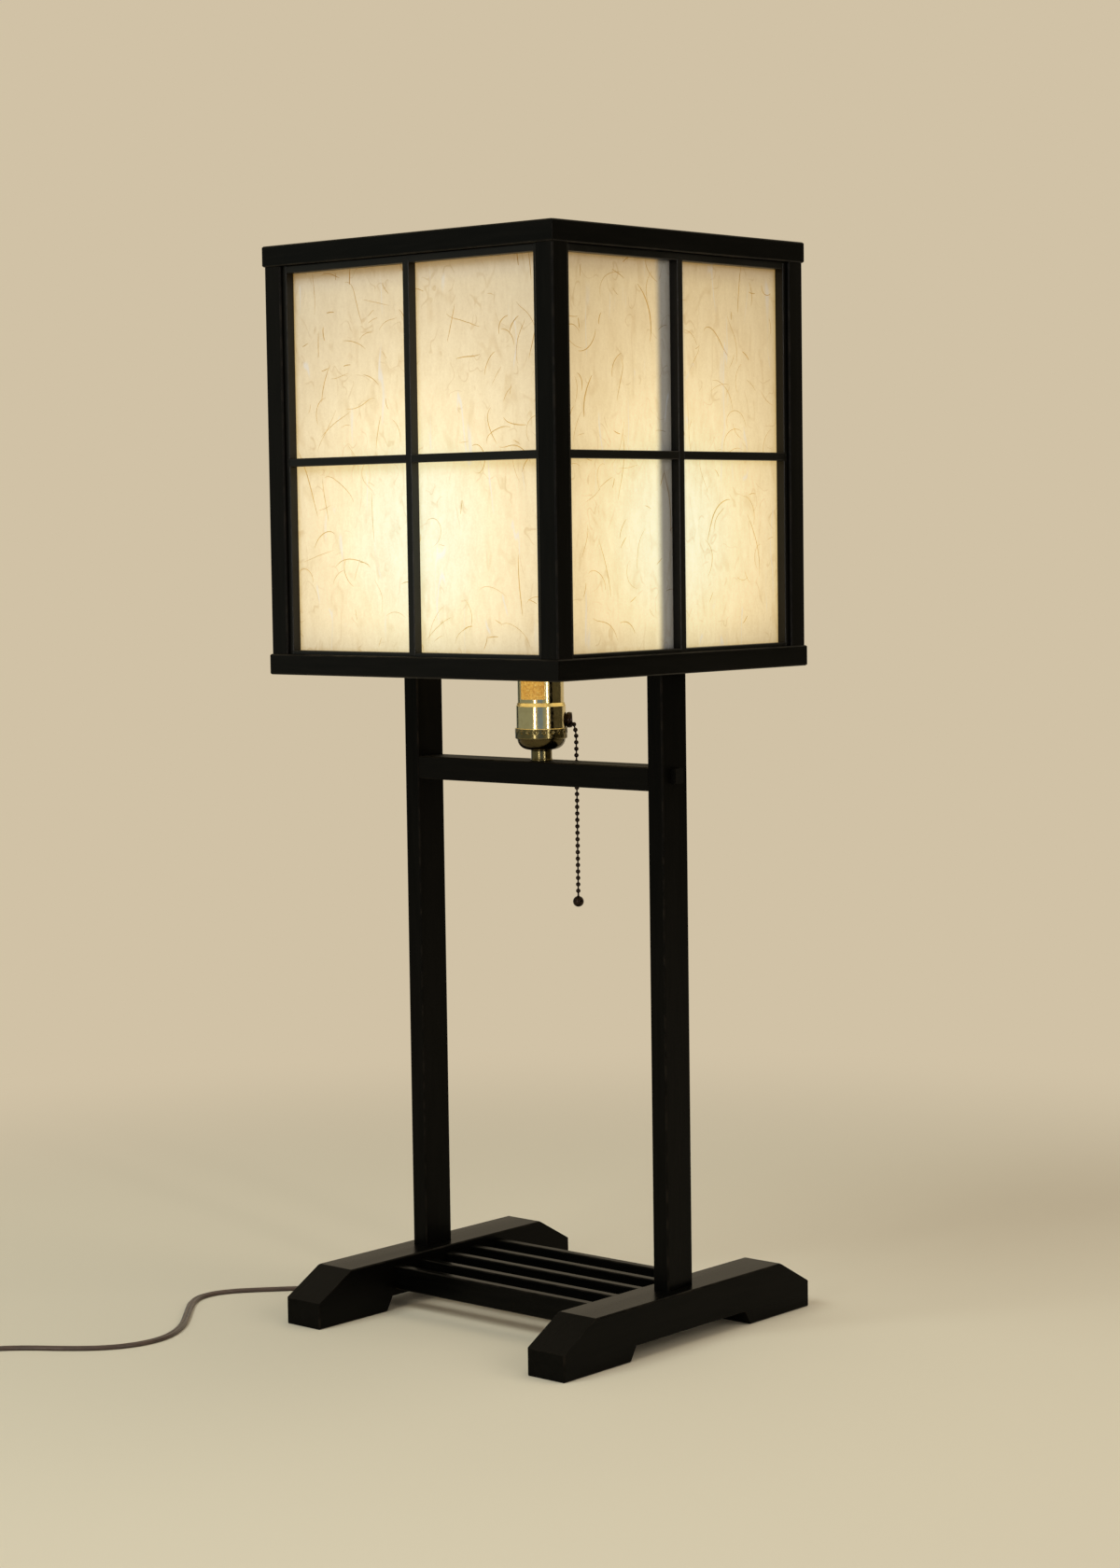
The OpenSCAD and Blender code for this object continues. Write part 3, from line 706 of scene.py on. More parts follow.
@dataclass(frozen=True)
class PatchedBrass(Metal):
    """Brass with a plain patch of tan paper on its upper wall."""

    middle: float = math.radians(-73.0)
    half_turn: float = math.radians(34.2)
    side_fade: float = 0.012
    above: float = 0.4284
    foot_fade: float = 0.0001
    fray: float = 0.06
    foot_fray: float = 0.012
    matt: float = 0.62
    tan: Colour = (0.980, 0.620, 0.150, 1.0)
    brown: Colour = (0.740, 0.380, 0.068, 1.0)
    straw: Colour = (1.000, 0.800, 0.310, 1.0)

    def material(self, effects: Effects) -> Material:
        """Makes the brass and lays the patch over it.

        Args:
            effects: The shared node groups.

        Returns:
            The material.
        """
        material, graph, shader = new_material(self.name)
        metal, roughness = self.dress(effects, graph, shader)
        plain = graph.stretched()
        axes = graph.axes(plain)
        beside = graph.off(graph.math("ARCTAN2", axes["Y"], axes["X"]), self.middle)
        ragged = graph.noise(plain, scale=900.0, detail=3.0)
        frayed = graph.times(graph.math("SUBTRACT", ragged, 0.5), self.fray)
        edge = (self.half_turn - self.side_fade, self.half_turn + self.side_fade)
        sides = graph.eased(graph.math("ADD", beside, frayed), *edge, 1.0, 0.0)
        height = graph.math("ADD", axes["Z"], graph.times(frayed, self.foot_fray))
        foot = graph.eased(height, self.above - self.foot_fade, self.above + self.foot_fade)
        patch = graph.times(sides, foot)
        pulp = graph.eased(graph.noise(plain, scale=520.0, detail=4.0, distortion=0.8), 0.34, 0.66)
        flecks = graph.eased(graph.noise(plain, scale=1100.0, detail=2.0), 0.56, 0.72, 0.0, 0.8)
        paper = graph.mix(flecks, graph.mix(pulp, self.tan, self.brown), self.straw)
        graph.feed(shader, {
            "Base Color": graph.mix(patch, metal, paper),
            "Metallic": graph.math("SUBTRACT", 1.0, patch),
            "Roughness": graph.math("MAXIMUM", roughness, graph.times(patch, self.matt)),
            "Normal": graph.bumped(graph.math("ADD", patch, graph.times(pulp, 0.2)), 0.4, 0.0001),
        })
        return material


@dataclass(frozen=True)
class Dull:
    """A plain moulded, pressed or drawn finish with fine unevenness."""

    name: str
    pale: Colour
    dark: Colour
    smooth: float
    rough: float
    fineness: float = 900.0
    gloss: float = 0.5

    def material(self) -> Material:
        """Makes the finish.

        Returns:
            The material.
        """
        material, graph, shader = new_material(self.name)
        plain = graph.stretched()
        broad = graph.eased(graph.noise(plain, scale=self.fineness / 9, detail=3.0), 0.3, 0.7)
        fine = graph.noise(plain, scale=self.fineness, detail=2.0)
        graph.feed(shader, {
            "Base Color": graph.mix(broad, self.pale, self.dark),
            "Roughness": graph.span(fine, 0.3, 0.7, self.smooth, self.rough),
            "Specular IOR Level": self.gloss,
            "Normal": graph.bumped(fine, 0.10, 0.0002),
        })
        return material


@dataclass(frozen=True)
class LitGlass:
    """Frosted glass of the lit bulb."""

    white: Colour = linear(240, 234, 222)
    glow: Colour = (1.0, 0.80, 0.52, 1.0)
    rim: Colour = (0.30, 0.20, 0.09, 1.0)
    base: Colour = (0.62, 0.42, 0.22, 1.0)
    over_base: Place = (0.462, 0.505)
    slanting: Place = (0.15, 0.97)
    strength: float = 3.0

    def material(self) -> Material:
        """Makes the glass, dimmer and warmer towards the base and where it is seen at a slant.

        Returns:
            The material.
        """
        material, graph, shader = new_material("frosted glass")
        plain = graph.stretched()
        face_on = graph.mix(graph.eased(graph.axes(plain)["Z"], *self.over_base), self.base, self.glow)
        slant = graph.node("ShaderNodeLayerWeight", {0: 0.5}).outputs["Facing"]
        graph.feed(shader, {
            "Base Color": self.white,
            "Roughness": graph.span(graph.noise(plain, scale=1400.0, detail=2.0), 0.3, 0.7, 0.42, 0.6),
            "Emission Color": graph.mix(graph.eased(slant, *self.slanting), face_on, self.rim),
            "Emission Strength": self.strength,
        })
        return material


@dataclass(frozen=True)
class Finishes:
    """Every finish of the lamp, as its pieces take it."""

    paint: dict[tuple[Coat, Grain], Dressing]
    paper: Dressing
    strands: Dressing
    brass: Dressing
    shell: Dressing
    old_brass: Dressing
    bronze: Dressing
    board: Dressing
    moulding: Dressing
    solder: Dressing
    glass: Dressing
    vinyl: Dressing

    @staticmethod
    def make() -> "Finishes":
        """Makes the materials of every finish.

        Returns:
            The finishes.
        """
        effects = Effects.build()
        paint = {use: BlackPaint().material(effects, *use) for use in product(Coat, Grain)}
        strands = (
            FibreStrand("brown strand", linear(116, 96, 66), (0.80, 0.66, 0.43, 1.0)),
            FibreStrand("tan strand", linear(146, 134, 112), (0.91, 0.83, 0.67, 1.0)),
            FibreStrand("pale strand", linear(168, 176, 194), (0.80, 0.84, 0.98, 1.0)),
        )
        polished = ((0.68, 0.57, 0.30, 1.0), (0.50, 0.39, 0.18, 1.0), 0.09, 0.17, 0.35)
        old = Metal("old brass", (0.175, 0.140, 0.060, 1.0), (0.090, 0.070, 0.030, 1.0), 0.15, 0.26, 0.5)
        bronze = Metal("dark bronze", (0.032, 0.022, 0.018, 1.0), (0.017, 0.011, 0.009, 1.0), 0.24, 0.36, 0.6)
        board = Dull("fibre board", linear(120, 112, 98), linear(96, 88, 76), 0.75, 0.9, 700.0, 0.2)
        moulding = Dull("brown moulding", linear(48, 31, 22), linear(38, 24, 17), 0.30, 0.42)
        solder = Dull("solder", linear(168, 168, 164), linear(132, 132, 130), 0.4, 0.6)
        vinyl = Dull("brown vinyl", linear(72, 53, 44), linear(58, 42, 35), 0.30, 0.42, 500.0, 0.7)
        return Finishes(
            paint={use: Dressing.of(Slot.WOOD, material) for use, material in paint.items()},
            paper=Dressing.of(Slot.PAPER, FibrePaper().material(effects)),
            strands=Dressing.of(Slot.PAPER, *(strand.material(effects) for strand in strands)),
            brass=Dressing.of(Slot.BRASS, Metal("bright brass", *polished).material(effects)),
            shell=Dressing.of(Slot.BRASS, PatchedBrass("patched brass", *polished).material(effects)),
            old_brass=Dressing.of(Slot.OLD_BRASS, old.material(effects)),
            bronze=Dressing.of(Slot.BRONZE, bronze.material(effects)),
            board=Dressing.of(Slot.BOARD, board.material()),
            moulding=Dressing.of(Slot.MOULDING, moulding.material()),
            solder=Dressing.of(Slot.SOLDER, solder.material()),
            glass=Dressing.of(Slot.GLASS, LitGlass().material()),
            vinyl=Dressing.of(Slot.VINYL, vinyl.material()),
        )


# Making pieces


def to_piece(solid: Solid, name: str, crease: float | None = None) -> Piece:
    """Turns a finished bmesh into an object.

    Args:
        solid: The mesh, which is freed.
        name: The object's name.
        crease: Edges sharper than this angle, in degrees, stay sharp. None smooths them all.

    Returns:
        The object, linked to the scene at the origin.
    """
    mesh = bpy.data.meshes.new(name)
    solid.to_mesh(mesh)
    solid.free()
    mesh.polygons.foreach_set("use_smooth", [True] * len(mesh.polygons))
    if crease is not None:
        mesh.set_sharp_from_angle(angle=math.radians(crease))
    piece = bpy.data.objects.new(name, mesh)
    bpy.context.scene.collection.objects.link(piece)
    return piece


def hand_over(piece: Piece, body: str, dressing: Dressing, *replaced: str) -> Piece:
    """Dresses a piece and gives it its place in the frame.

    Args:
        piece: The piece, in place.
        body: The CAD body that it moves with.
        dressing: Its finish.
        replaced: CAD nodes that it stands for.

    Returns:
        The piece.
    """
    piece.data.materials.clear()
    for material in dressing.materials:
        piece.data.materials.append(material)
    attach(piece, body)
    if replaced:
        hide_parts(*replaced)
    LOG.info("%s rides on %s%s", piece.name, body, f" for {', '.join(replaced)}" if replaced else "")
    return piece


def lathe(
    outline: Outline, steps: int, closed: bool = True, shape: Callable[[Solid], None] | None = None
) -> Solid:
    """Turns a half outline in millimetres round Z.

    Args:
        outline: Points as (distance from the axis, height).
        steps: Steps round the axis.
        closed: Joins the last point to the first, for a piece with a wall. Else both ends are on the axis.
        shape: Moves or cuts the mesh before its normals are settled.

    Returns:
        The mesh, in metres, with its faces outwards.
    """
    solid = bmesh.new()
    points = [solid.verts.new((radius * MM, 0.0, height * MM)) for radius, height in outline]
    follow = points[1:] + points[:1] if closed else points[1:]
    lines = [solid.edges.new(pair) for pair in zip(points, follow)]
    bmesh.ops.spin(
        solid, geom=points + lines, cent=(0, 0, 0), axis=(0, 0, 1), angle=math.tau, steps=steps,
        use_merge=True,
    )
    bmesh.ops.remove_doubles(solid, verts=solid.verts, dist=MERGED)
    if shape:
        shape(solid)
    bmesh.ops.recalc_face_normals(solid, faces=solid.faces)
    return solid


def facing_out(turn: float, radius: float, height: float) -> Matrix:
    """Places a piece that was turned round Z, so that it points outwards from a round wall.

    Args:
        turn: Where it stands round the wall, in radians.
        radius: The wall's radius, in millimetres.
        height: Its height, in millimetres.

    Returns:
        The matrix that moves it there.
    """
    outwards = Matrix.Rotation(math.pi / 2, 4, "Y")
    return Matrix.Rotation(turn, 4, "Z") @ Matrix.Translation((radius * MM, 0, height * MM)) @ outwards


def mark_band(solid: Solid, mark: str, low: float, high: float, amount: float = 1.0) -> None:
    """Marks the faces between two heights, for the finishes to read.

    Args:
        solid: The mesh.
        mark: The name of the face attribute.
        low: The lower height, in millimetres.
        high: The upper height, in millimetres.
        amount: What the marked faces get.
    """
    layer = solid.faces.layers.float.get(mark) or solid.faces.layers.float.new(mark)
    for face in solid.faces:
        if low * MM < face.calc_center_median().z < high * MM:
            face[layer] = amount


@dataclass(frozen=True)
class Thread:
    """A round-topped screw thread, right-handed, pressed into a turned wall."""

    radius: float
    pitch: float
    depth: float
    low: float
    high: float
    on_wall: float = 0.02

    def press(self, solid: Solid) -> None:
        """Moves the wall's points in along the thread's helix, fading at both ends.

        Args:
            solid: The turned mesh.
        """
        for vert in solid.verts:
            across = math.hypot(vert.co.x, vert.co.y)
            height = vert.co.z / MM
            if abs(across / MM - self.radius) > self.on_wall or not self.low <= height <= self.high:
                continue
            turn = math.atan2(vert.co.y, vert.co.x) / math.tau
            wave = 0.5 - 0.5 * math.cos(math.tau * (height / self.pitch - turn))
            above, below = (height - self.low) / self.pitch, (self.high - height) / self.pitch
            shrink = 1 - self.depth * wave * smoothstep(above) * smoothstep(below) * MM / across
            vert.co.x, vert.co.y = vert.co.x * shrink, vert.co.y * shrink


@dataclass(frozen=True)
class Softening:
    """Rounds the arrises of a CAD node's copy over, and marks them in the arris attribute.

    Narrow faces that aren't square to an axis are the node's own small chamfers, and are marked too. Lengths
    are in millimetres.
    """

    width: float
    segments: int = 2
    sharp: float = math.radians(25.0)
    flat: float = math.radians(1.0)
    square: float = 0.996
    chamfer: float = 1.6
    loose: float = 0.001
    evening: int = 60

    def copy(self, node: str, name: str) -> Piece:
        """Makes the softened copy.

        Args:
            node: The CAD node.
            name: The new piece's name.

        Returns:
            The new piece, with evened shading on its flat faces.
        """
        solid = bmesh.new()
        solid.from_mesh(bpy.data.objects[node].data)
        bmesh.ops.remove_doubles(solid, verts=solid.verts, dist=self.loose * MM)
        bmesh.ops.dissolve_limit(solid, angle_limit=self.flat, verts=solid.verts, edges=solid.edges)
        arris = solid.faces.layers.float.new("arris")
        for face in solid.faces:
            square = max(abs(component) for component in face.normal) > self.square
            narrow = face.calc_area() / max(edge.calc_length() for edge in face.edges) < self.chamfer * MM
            face[arris] = 1.0 if narrow and not square else 0.0
        edges = [edge for edge in solid.edges if edge.calc_face_angle(0.0) > self.sharp]
        rounded = bmesh.ops.bevel(
            solid, geom=edges, offset=self.width * MM, offset_type="OFFSET", affect="EDGES",
            segments=self.segments, profile=0.5, clamp_overlap=True, material=-1,
        )
        for face in rounded["faces"]:
            face[arris] = 1.0
        piece = to_piece(solid, name)
        piece.modifiers.new("even shading", "WEIGHTED_NORMAL").weight = self.evening
        return piece


def swept(line: Sequence[Vector], sides: Sequence[Vector], section: Outline, name: str) -> Piece:
    """Sweeps a cord's section along a line.

    Args:
        line: Centre points.
        sides: The direction of the section's width at each point.
        section: Points round the section as (across, up), in metres.
        name: The piece's name.

    Returns:
        The cord, closed at both ends.
    """
    solid = bmesh.new()
    rings = []
    for point, side, along in zip(line, sides, directions(line)):
        up = side.cross(along).normalized()
        rings.append([solid.verts.new(point + side * across + up * rise) for across, rise in section])
    for ring, following in pairwise(rings):
        for j, vert in enumerate(ring):
            k = (j + 1) % len(ring)
            solid.faces.new((vert, ring[k], following[k], following[j]))
    solid.faces.new(rings[0])
    solid.faces.new(rings[-1])
    bmesh.ops.recalc_face_normals(solid, faces=solid.faces)
    return to_piece(solid, name, 60.0)


# Camera, lights and floor


@dataclass(frozen=True)
class Viewpoint:
    """Where the camera stands, and how it is held."""

    azimuth: float = math.radians(41.2)
    distance: float = 2.1818
    height: float = 0.542
    sideways: float = 0.0123
    pitch: float = math.radians(4.519)
    roll: float = math.radians(-0.80)
    focal_px: float = 3420.0
    frame_px: float = 1200.0
    sensor_mm: float = 36.0
    clip: Place = (0.05, 60.0)

    def set_up(self) -> None:
        """Makes the camera and gives it to the scene."""
        right = Vector((math.cos(self.azimuth), math.sin(self.azimuth), 0.0))
        ahead = Vector((-math.sin(self.azimuth), math.cos(self.azimuth), 0.0))
        forward = ahead * math.cos(self.pitch) - Vector((0, 0, 1)) * math.sin(self.pitch)
        up = right.cross(forward)
        across = right * math.cos(self.roll) + up * math.sin(self.roll)
        above = up * math.cos(self.roll) - right * math.sin(self.roll)
        data = bpy.data.cameras.new("viewpoint")
        data.sensor_fit = "HORIZONTAL"
        data.sensor_width = self.sensor_mm
        data.lens = self.focal_px / self.frame_px * self.sensor_mm
        data.clip_start, data.clip_end = self.clip
        camera = bpy.data.objects.new("viewpoint", data)
        turned = Matrix((across, above, -forward)).transposed().to_4x4()
        place = Vector((0, 0, self.height)) - ahead * self.distance + right * self.sideways
        camera.matrix_world = Matrix.Translation(place) @ turned
        bpy.context.scene.collection.objects.link(camera)
        bpy.context.scene.camera = camera


@dataclass(frozen=True)
class SoftLight:
    """A rectangular lamp that faces the object. A mirrored one also shows in the gloss."""

    name: str
    azimuth: float
    distance: float
    height: float
    size: Place
    power: float
    mirrored: bool = False
    colour: tuple[float, float, float] = (1.0, 0.97, 0.92)

    def hang(self, target: Vector) -> None:
        """Makes the lamp and turns it to the object.

        Args:
            target: The middle of the object.
        """
        data = bpy.data.lights.new(self.name, "AREA")
        data.shape = "RECTANGLE"
        data.size, data.size_y = self.size
        data.energy = self.power
        data.color = self.colour
        lamp = bpy.data.objects.new(self.name, data)
        turn = math.radians(self.azimuth)
        place = Vector((math.sin(turn) * self.distance, -math.cos(turn) * self.distance, self.height))
        lamp.location = place
        lamp.rotation_mode = "QUATERNION"
        lamp.rotation_quaternion = (target - place).to_track_quat("-Z", "Y")
        lamp.visible_glossy = self.mirrored
        bpy.context.scene.collection.objects.link(lamp)


@dataclass(frozen=True)
class Card:
    """A curved card that stands round the object and shows only in its gloss."""

    name: str
    start: float
    end: float
    colour: Colour
    radius: float = 2.6
    low: float = 0.02
    high: float = 1.30
    flat: float = 4.0

    def stand(self) -> None:
        """Makes the card between its two azimuths, in degrees from the front."""
        turn = math.radians(self.start)
        across = (math.sin(turn) * self.radius, -math.cos(turn) * self.radius)
        width = self.end - self.start
        solid = bmesh.new()
        ends = [solid.verts.new((*across, height)) for height in (self.low, self.high)]
        edge = solid.edges.new(ends)
        bmesh.ops.spin(
            solid, geom=[*ends, edge], cent=(0, 0, 0), axis=(0, 0, 1), angle=math.radians(width),
            steps=round(width / self.flat),
        )
        card = to_piece(solid, f"card_{self.name}")
        card.visible_camera = card.visible_diffuse = card.visible_transmission = False
        card.visible_shadow = card.visible_volume_scatter = False
        material, graph, _ = new_material(f"card {self.name}")
        graph.tree.nodes.clear()
        shown = graph.node("ShaderNodeEmission", {"Color": self.colour})
        graph.node("ShaderNodeOutputMaterial", {"Surface": shown.outputs[0]})
        card.data.materials.append(material)


@dataclass(frozen=True)
class Studio:
    """Pale floor that fades into a pale background, soft lamps and even light from all round."""

    backdrop: Colour = linear(209, 194, 166)
    floor: Colour = linear(218, 203, 174)
    ambient: Colour = (0.30, 0.295, 0.285, 1.0)
    floor_radius: float = 14.0
    fade: Place = (0.45, 1.15)
    aim: float = 0.42
    lights: tuple[SoftLight, ...] = (
        SoftLight("key", -12.0, 1.7, 1.9, (1.1, 1.1), 29.5, False, (0.78, 0.92, 1.0)),
        SoftLight("fill", 112.0, 2.0, 1.3, (1.3, 1.0), 8.0),
        SoftLight("overhead", 150.0, 0.7, 2.4, (1.5, 1.5), 14.0),
        SoftLight("right strip", 73.0, 1.9, 0.75, (0.10, 1.1), 4.2, True, (1.0, 0.99, 0.97)),
        SoftLight("left window", 12.0, 2.2, 0.60, (0.24, 0.9), 5.4, True, (1.0, 0.99, 0.97)),
    )
    cards: tuple[Card, ...] = (
        Card("far_left", -124.0, 3.0, (0.33, 0.35, 0.30, 1.0)),
        Card("sky_blue", 24.0, 50.0, (0.21, 0.285, 0.45, 1.0)),
        Card("middle", 50.0, 64.0, (0.33, 0.35, 0.30, 1.0)),
        Card("dark_side", 83.0, 159.0, (0.07, 0.06, 0.036, 1.0)),
    )

    def set_up(self) -> None:
        """Makes the world, the floor, the lamps and the cards."""
        self._world()
        self._floor()
        for light in self.lights:
            light.hang(Vector((0.0, 0.0, self.aim)))
        for card in self.cards:
            card.stand()

    def _seen(self, graph: Graph) -> Wire:
        """1 on the rays that show the background: from the camera, off gloss and through glass.

        Args:
            graph: The graph of the world or the floor.

        Returns:
            The socket of that value.
        """
        path = graph.node("ShaderNodeLightPath").outputs
        either = graph.math("MAXIMUM", path["Is Camera Ray"], path["Is Glossy Ray"])
        return graph.math("MAXIMUM", either, path["Is Transmission Ray"])

    def _world(self) -> None:
        """Even light for the object, and the pale background where it is seen."""
        world = bpy.data.worlds.new("studio")
        world.use_nodes = True
        graph = Graph(world.node_tree)
        graph.tree.nodes.clear()
        even, pale = (
            graph.node("ShaderNodeBackground", {"Color": colour}).outputs[0]
            for colour in (self.ambient, self.backdrop)
        )
        mixed = graph.node("ShaderNodeMixShader", {0: self._seen(graph), 1: even, 2: pale})
        graph.node("ShaderNodeOutputWorld", {"Surface": mixed.outputs[0]})
        bpy.context.scene.world = world

    def _floor(self) -> None:
        """A round floor whose far part takes the background's colour."""
        solid = bmesh.new()
        bmesh.ops.create_circle(solid, cap_ends=True, segments=96, radius=self.floor_radius)
        floor = to_piece(solid, "studio_floor")
        material, graph, shader = new_material("pale floor")
        graph.feed(shader, {"Base Color": self.floor, "Roughness": 0.85, "Specular IOR Level": 0.1})
        away = graph.node("ShaderNodeVectorMath", {0: graph.stretched()}, operation="LENGTH").outputs["Value"]
        share = graph.times(graph.eased(away, *self.fade), self._seen(graph))
        pale = graph.node("ShaderNodeEmission", {"Color": self.backdrop})
        mixed = graph.node("ShaderNodeMixShader", {0: share, 1: shader.outputs[0], 2: pale.outputs[0]})
        graph.feed(graph.tree.nodes["Material Output"], {"Surface": mixed.outputs[0]})
        floor.data.materials.append(material)


# Cord and plug


@dataclass
class MainsCord:
    """Flat two-core cord: its free length to the plug, and its run inside the stand.

    The free length follows the route's points, then lies in a coil of two layers, and ends in the plug.
    """

    width: float = 0.0052
    thickness: float = 0.0027
    waist: float = 0.00075
    lobe_turn: float = math.radians(124.0)
    lobe_steps: int = 8
    length: float = 1.766
    height: float = 0.0014
    route: tuple[Place, ...] = (
        (-0.127, 0.0), (-0.133, 0.0), (-0.140, -0.002), (-0.148, -0.008), (-0.157, -0.018), (-0.167, -0.031),
        (-0.178, -0.044), (-0.190, -0.057), (-0.202, -0.070), (-0.213, -0.082), (-0.222, -0.094),
        (-0.227, -0.107), (-0.226, -0.121), (-0.219, -0.134), (-0.209, -0.146), (-0.198, -0.158),
        (-0.187, -0.170), (-0.176, -0.183), (-0.167, -0.197), (-0.161, -0.212), (-0.160, -0.228),
        (-0.164, -0.243), (-0.172, -0.256), (-0.183, -0.267), (-0.196, -0.277), (-0.209, -0.286),
        (-0.221, -0.296), (-0.230, -0.3065), (-0.235, -0.316), (-0.237, -0.3225), (-0.237, -0.328),
    )
    spacing: float = 0.0022
    pitch: float = 0.0058
    layer: float = 0.0032
    inner: float = 0.0189
    turns: float = 3.5
    coil_y: float = -0.335
    rings: int = 48
    plug_height: float = 0.006
    rise: float = 0.009
    tail: float = 0.014
    tail_steps: int = 8
    socket_end: float = 0.402
    bar_groove: float = 0.3722
    post_x: float = -0.111
    bends: tuple[float, float, float] = (0.004, 0.004, 0.005)
    bend_steps: int = 8

    def section(self) -> Outline:
        """Two round cores side by side, with a shallow groove between them.

        Returns:
            Points round the section, in metres.
        """
        radius = self.thickness / 2
        middle = self.width / 2 - radius
        turns = [self.lobe_turn * (2 * i / self.lobe_steps - 1) for i in range(self.lobe_steps + 1)]
        lobe = [(middle + radius * math.cos(a), radius * math.sin(a)) for a in turns]
        return [*lobe, (0.0, self.waist), *[(-x, -y) for x, y in lobe], (0.0, -self.waist)]

    def lead(self) -> list[Vector]:
        """One smooth curve through the route's points.

        Returns:
            The curve's points.
        """
        points = [Vector((x, y, self.height)) for x, y in self.route]
        slopes = [Vector((-1, 0, 0)), *directions(points)[1:-1], Vector((0, -1, 0))]
        line = [points[0]]
        for start, end, leaving, coming in zip(points, points[1:], slopes, slopes[1:]):
            third = (end - start).length / 3
            steps = max(3, round((end - start).length / self.spacing) + 1)
            line += interpolate_bezier(start, start + leaving * third, end - coming * third, end, steps)[1:]
        return line

    def coil_point(self, turn: float) -> Vector:
        """A point of the coil, which spirals in, climbs a layer in half a turn and spirals out again.

        Args:
            turn: How many turns of the coil lie before it.

        Returns:
            The point.
        """
        quarter = 0.25
        away = abs(turn - self.turns - quarter)
        crossing = self.pitch / 2 * smoothstep((3 * quarter - away) / (2 * quarter))
        radius = self.inner + self.pitch * max(0.0, away - quarter) - crossing
        lift = self.layer * min(1.0, max(0.0, (turn - self.turns) / (2 * quarter)))
        outer = self.inner + self.turns * self.pitch
        centre = Vector((self.route[-1][0] - outer, self.coil_y, self.height + lift))
        return centre + radius * Vector((math.cos(math.tau * turn), -math.sin(math.tau * turn), 0.0))

    def coil(self) -> list[Vector]:
        """The coil, then its tail to the tip of the plug's relief.

        Returns:
            The points of both.
        """
        loops = 2 * self.turns + 0.5
        line = [self.coil_point(i / self.rings) for i in range(round(loops * self.rings) + 1)]
        end = line[-1].copy()
        for i in range(1, self.tail_steps + 1):
            out = self.tail * i / self.tail_steps
            line.append(end + Vector((0, out, (self.plug_height - end.z) * smoothstep(out / self.rise))))
        return line

    def inside(self) -> list[Vector]:
        """The run from the socket along the crossbar's groove, down the left post and out under the foot.

        Returns:
            Its points, with a quarter turn at each corner.
        """
        stops = [Vector((x, 0.0, z)) for x, z in (
            (0.0, self.socket_end),
            (0.0, self.bar_groove),
            (self.post_x, self.bar_groove),
            (self.post_x, self.height),
            (self.route[0][0], self.height),
        )]
        line = [stops[0]]
        for before, corner, after, bend in zip(stops, stops[1:], stops[2:], self.bends):
            first = (before - corner).normalized() * bend
            second = (after - corner).normalized() * bend
            for i in range(self.bend_steps + 1):
                turn = math.pi / 2 * i / self.bend_steps
                line.append(corner + first * (1 - math.sin(turn)) + second * (1 - math.cos(turn)))
        return [*line, stops[-1]]

    def make(self, finishes: Finishes) -> None:
        """Makes the free cord, its plug and the run inside the stand.

        Args:
            finishes: The lamp's finishes.
        """
        line = [*self.lead(), *self.coil()]
        sides = [Vector((way.y, -way.x, 0.0)).normalized() for way in directions(line)]
        cord = swept(line, sides, self.section(), "flat_cord")
        hand_over(cord, "stand", finishes.vinyl, "power_cord", "cord_coil")
        plug = Softening(1.2, 4).copy("plug_body", "plug_grip")
        hand_over(plug, "stand", finishes.moulding, "plug_body")
        blades = Softening(0.3).copy("plug_blades", "blades")
        hand_over(blades, "stand", finishes.brass, "plug_blades")
        inside = self.inside()
        held = swept(inside, [Vector((0, 1, 0))] * len(inside), self.section(), "held_cord")
        hand_over(held, "stand", finishes.vinyl, "stand_cord")


# Wood


@dataclass
class Joinery:
    """The painted wood of stand and shade."""

    rounding: Softening = Softening(0.35)
    fine_rounding: Softening = Softening(0.25)

    def stand(self) -> dict[Grain, list[str]]:
        """The stand's wooden nodes by the way that their grain runs.

        Returns:
            The nodes' names by their grain.
        """
        slats = [f"slat_{i}" for i in range(1, 6)]
        feet, posts = ([f"{side}_{piece}" for side in ("left", "right")] for piece in ("foot", "post"))
        return {Grain.ALONG_X: ["crossbar", *slats], Grain.ALONG_Y: feet, Grain.ALONG_Z: posts}

    def shade(self) -> dict[Grain, list[str]]:
        """The shade's wooden nodes by the way that their grain runs.

        Returns:
            The nodes' names by their grain.
        """
        across = {Grain.ALONG_X: ("front", "back"), Grain.ALONG_Y: ("right", "left")}
        found = {
            grain: [f"{side}_{rail}" for side in sides for rail in ("top_rail", "bottom_rail", "cross_bar")]
            for grain, sides in across.items()
        }
        found[Grain.ALONG_Y] += ["left_cleat", "right_cleat"]
        upright = [f"{side}_{piece}" for side in SIDES for piece in ("lattice_frame", "upright_bar")]
        found[Grain.ALONG_Z] = [*upright, *[f"corner_post_{i}" for i in range(1, 5)]]
        return found

    def make(self, finishes: Finishes) -> None:
        """Rounds and paints every wooden node.

        Args:
            finishes: The lamp's finishes.
        """
        for body, nodes, coat in (("stand", self.stand(), Coat.STAND), ("shade", self.shade(), Coat.SHADE)):
            for grain, names in nodes.items():
                for name in names:
                    self._paint(name, body, Coat.CROSSBAR if name == "crossbar" else coat, grain, finishes)

    def _paint(self, name: str, body: str, coat: Coat, grain: Grain, finishes: Finishes) -> None:
        """Rounds and paints one node.

        Args:
            name: The node's name.
            body: Its body.
            coat: The coat of its part of the lamp, which the lattice has its own in place of.
            grain: The way that its grain runs.
            finishes: The lamp's finishes.
        """
        fine = name.endswith(("lattice_frame", "_bar"))
        rounding = self.fine_rounding if fine else self.rounding
        dressing = finishes.paint[Coat.LATTICE if fine else coat, grain]
        hand_over(rounding.copy(name, f"painted_{name}"), body, dressing, name)


# Paper


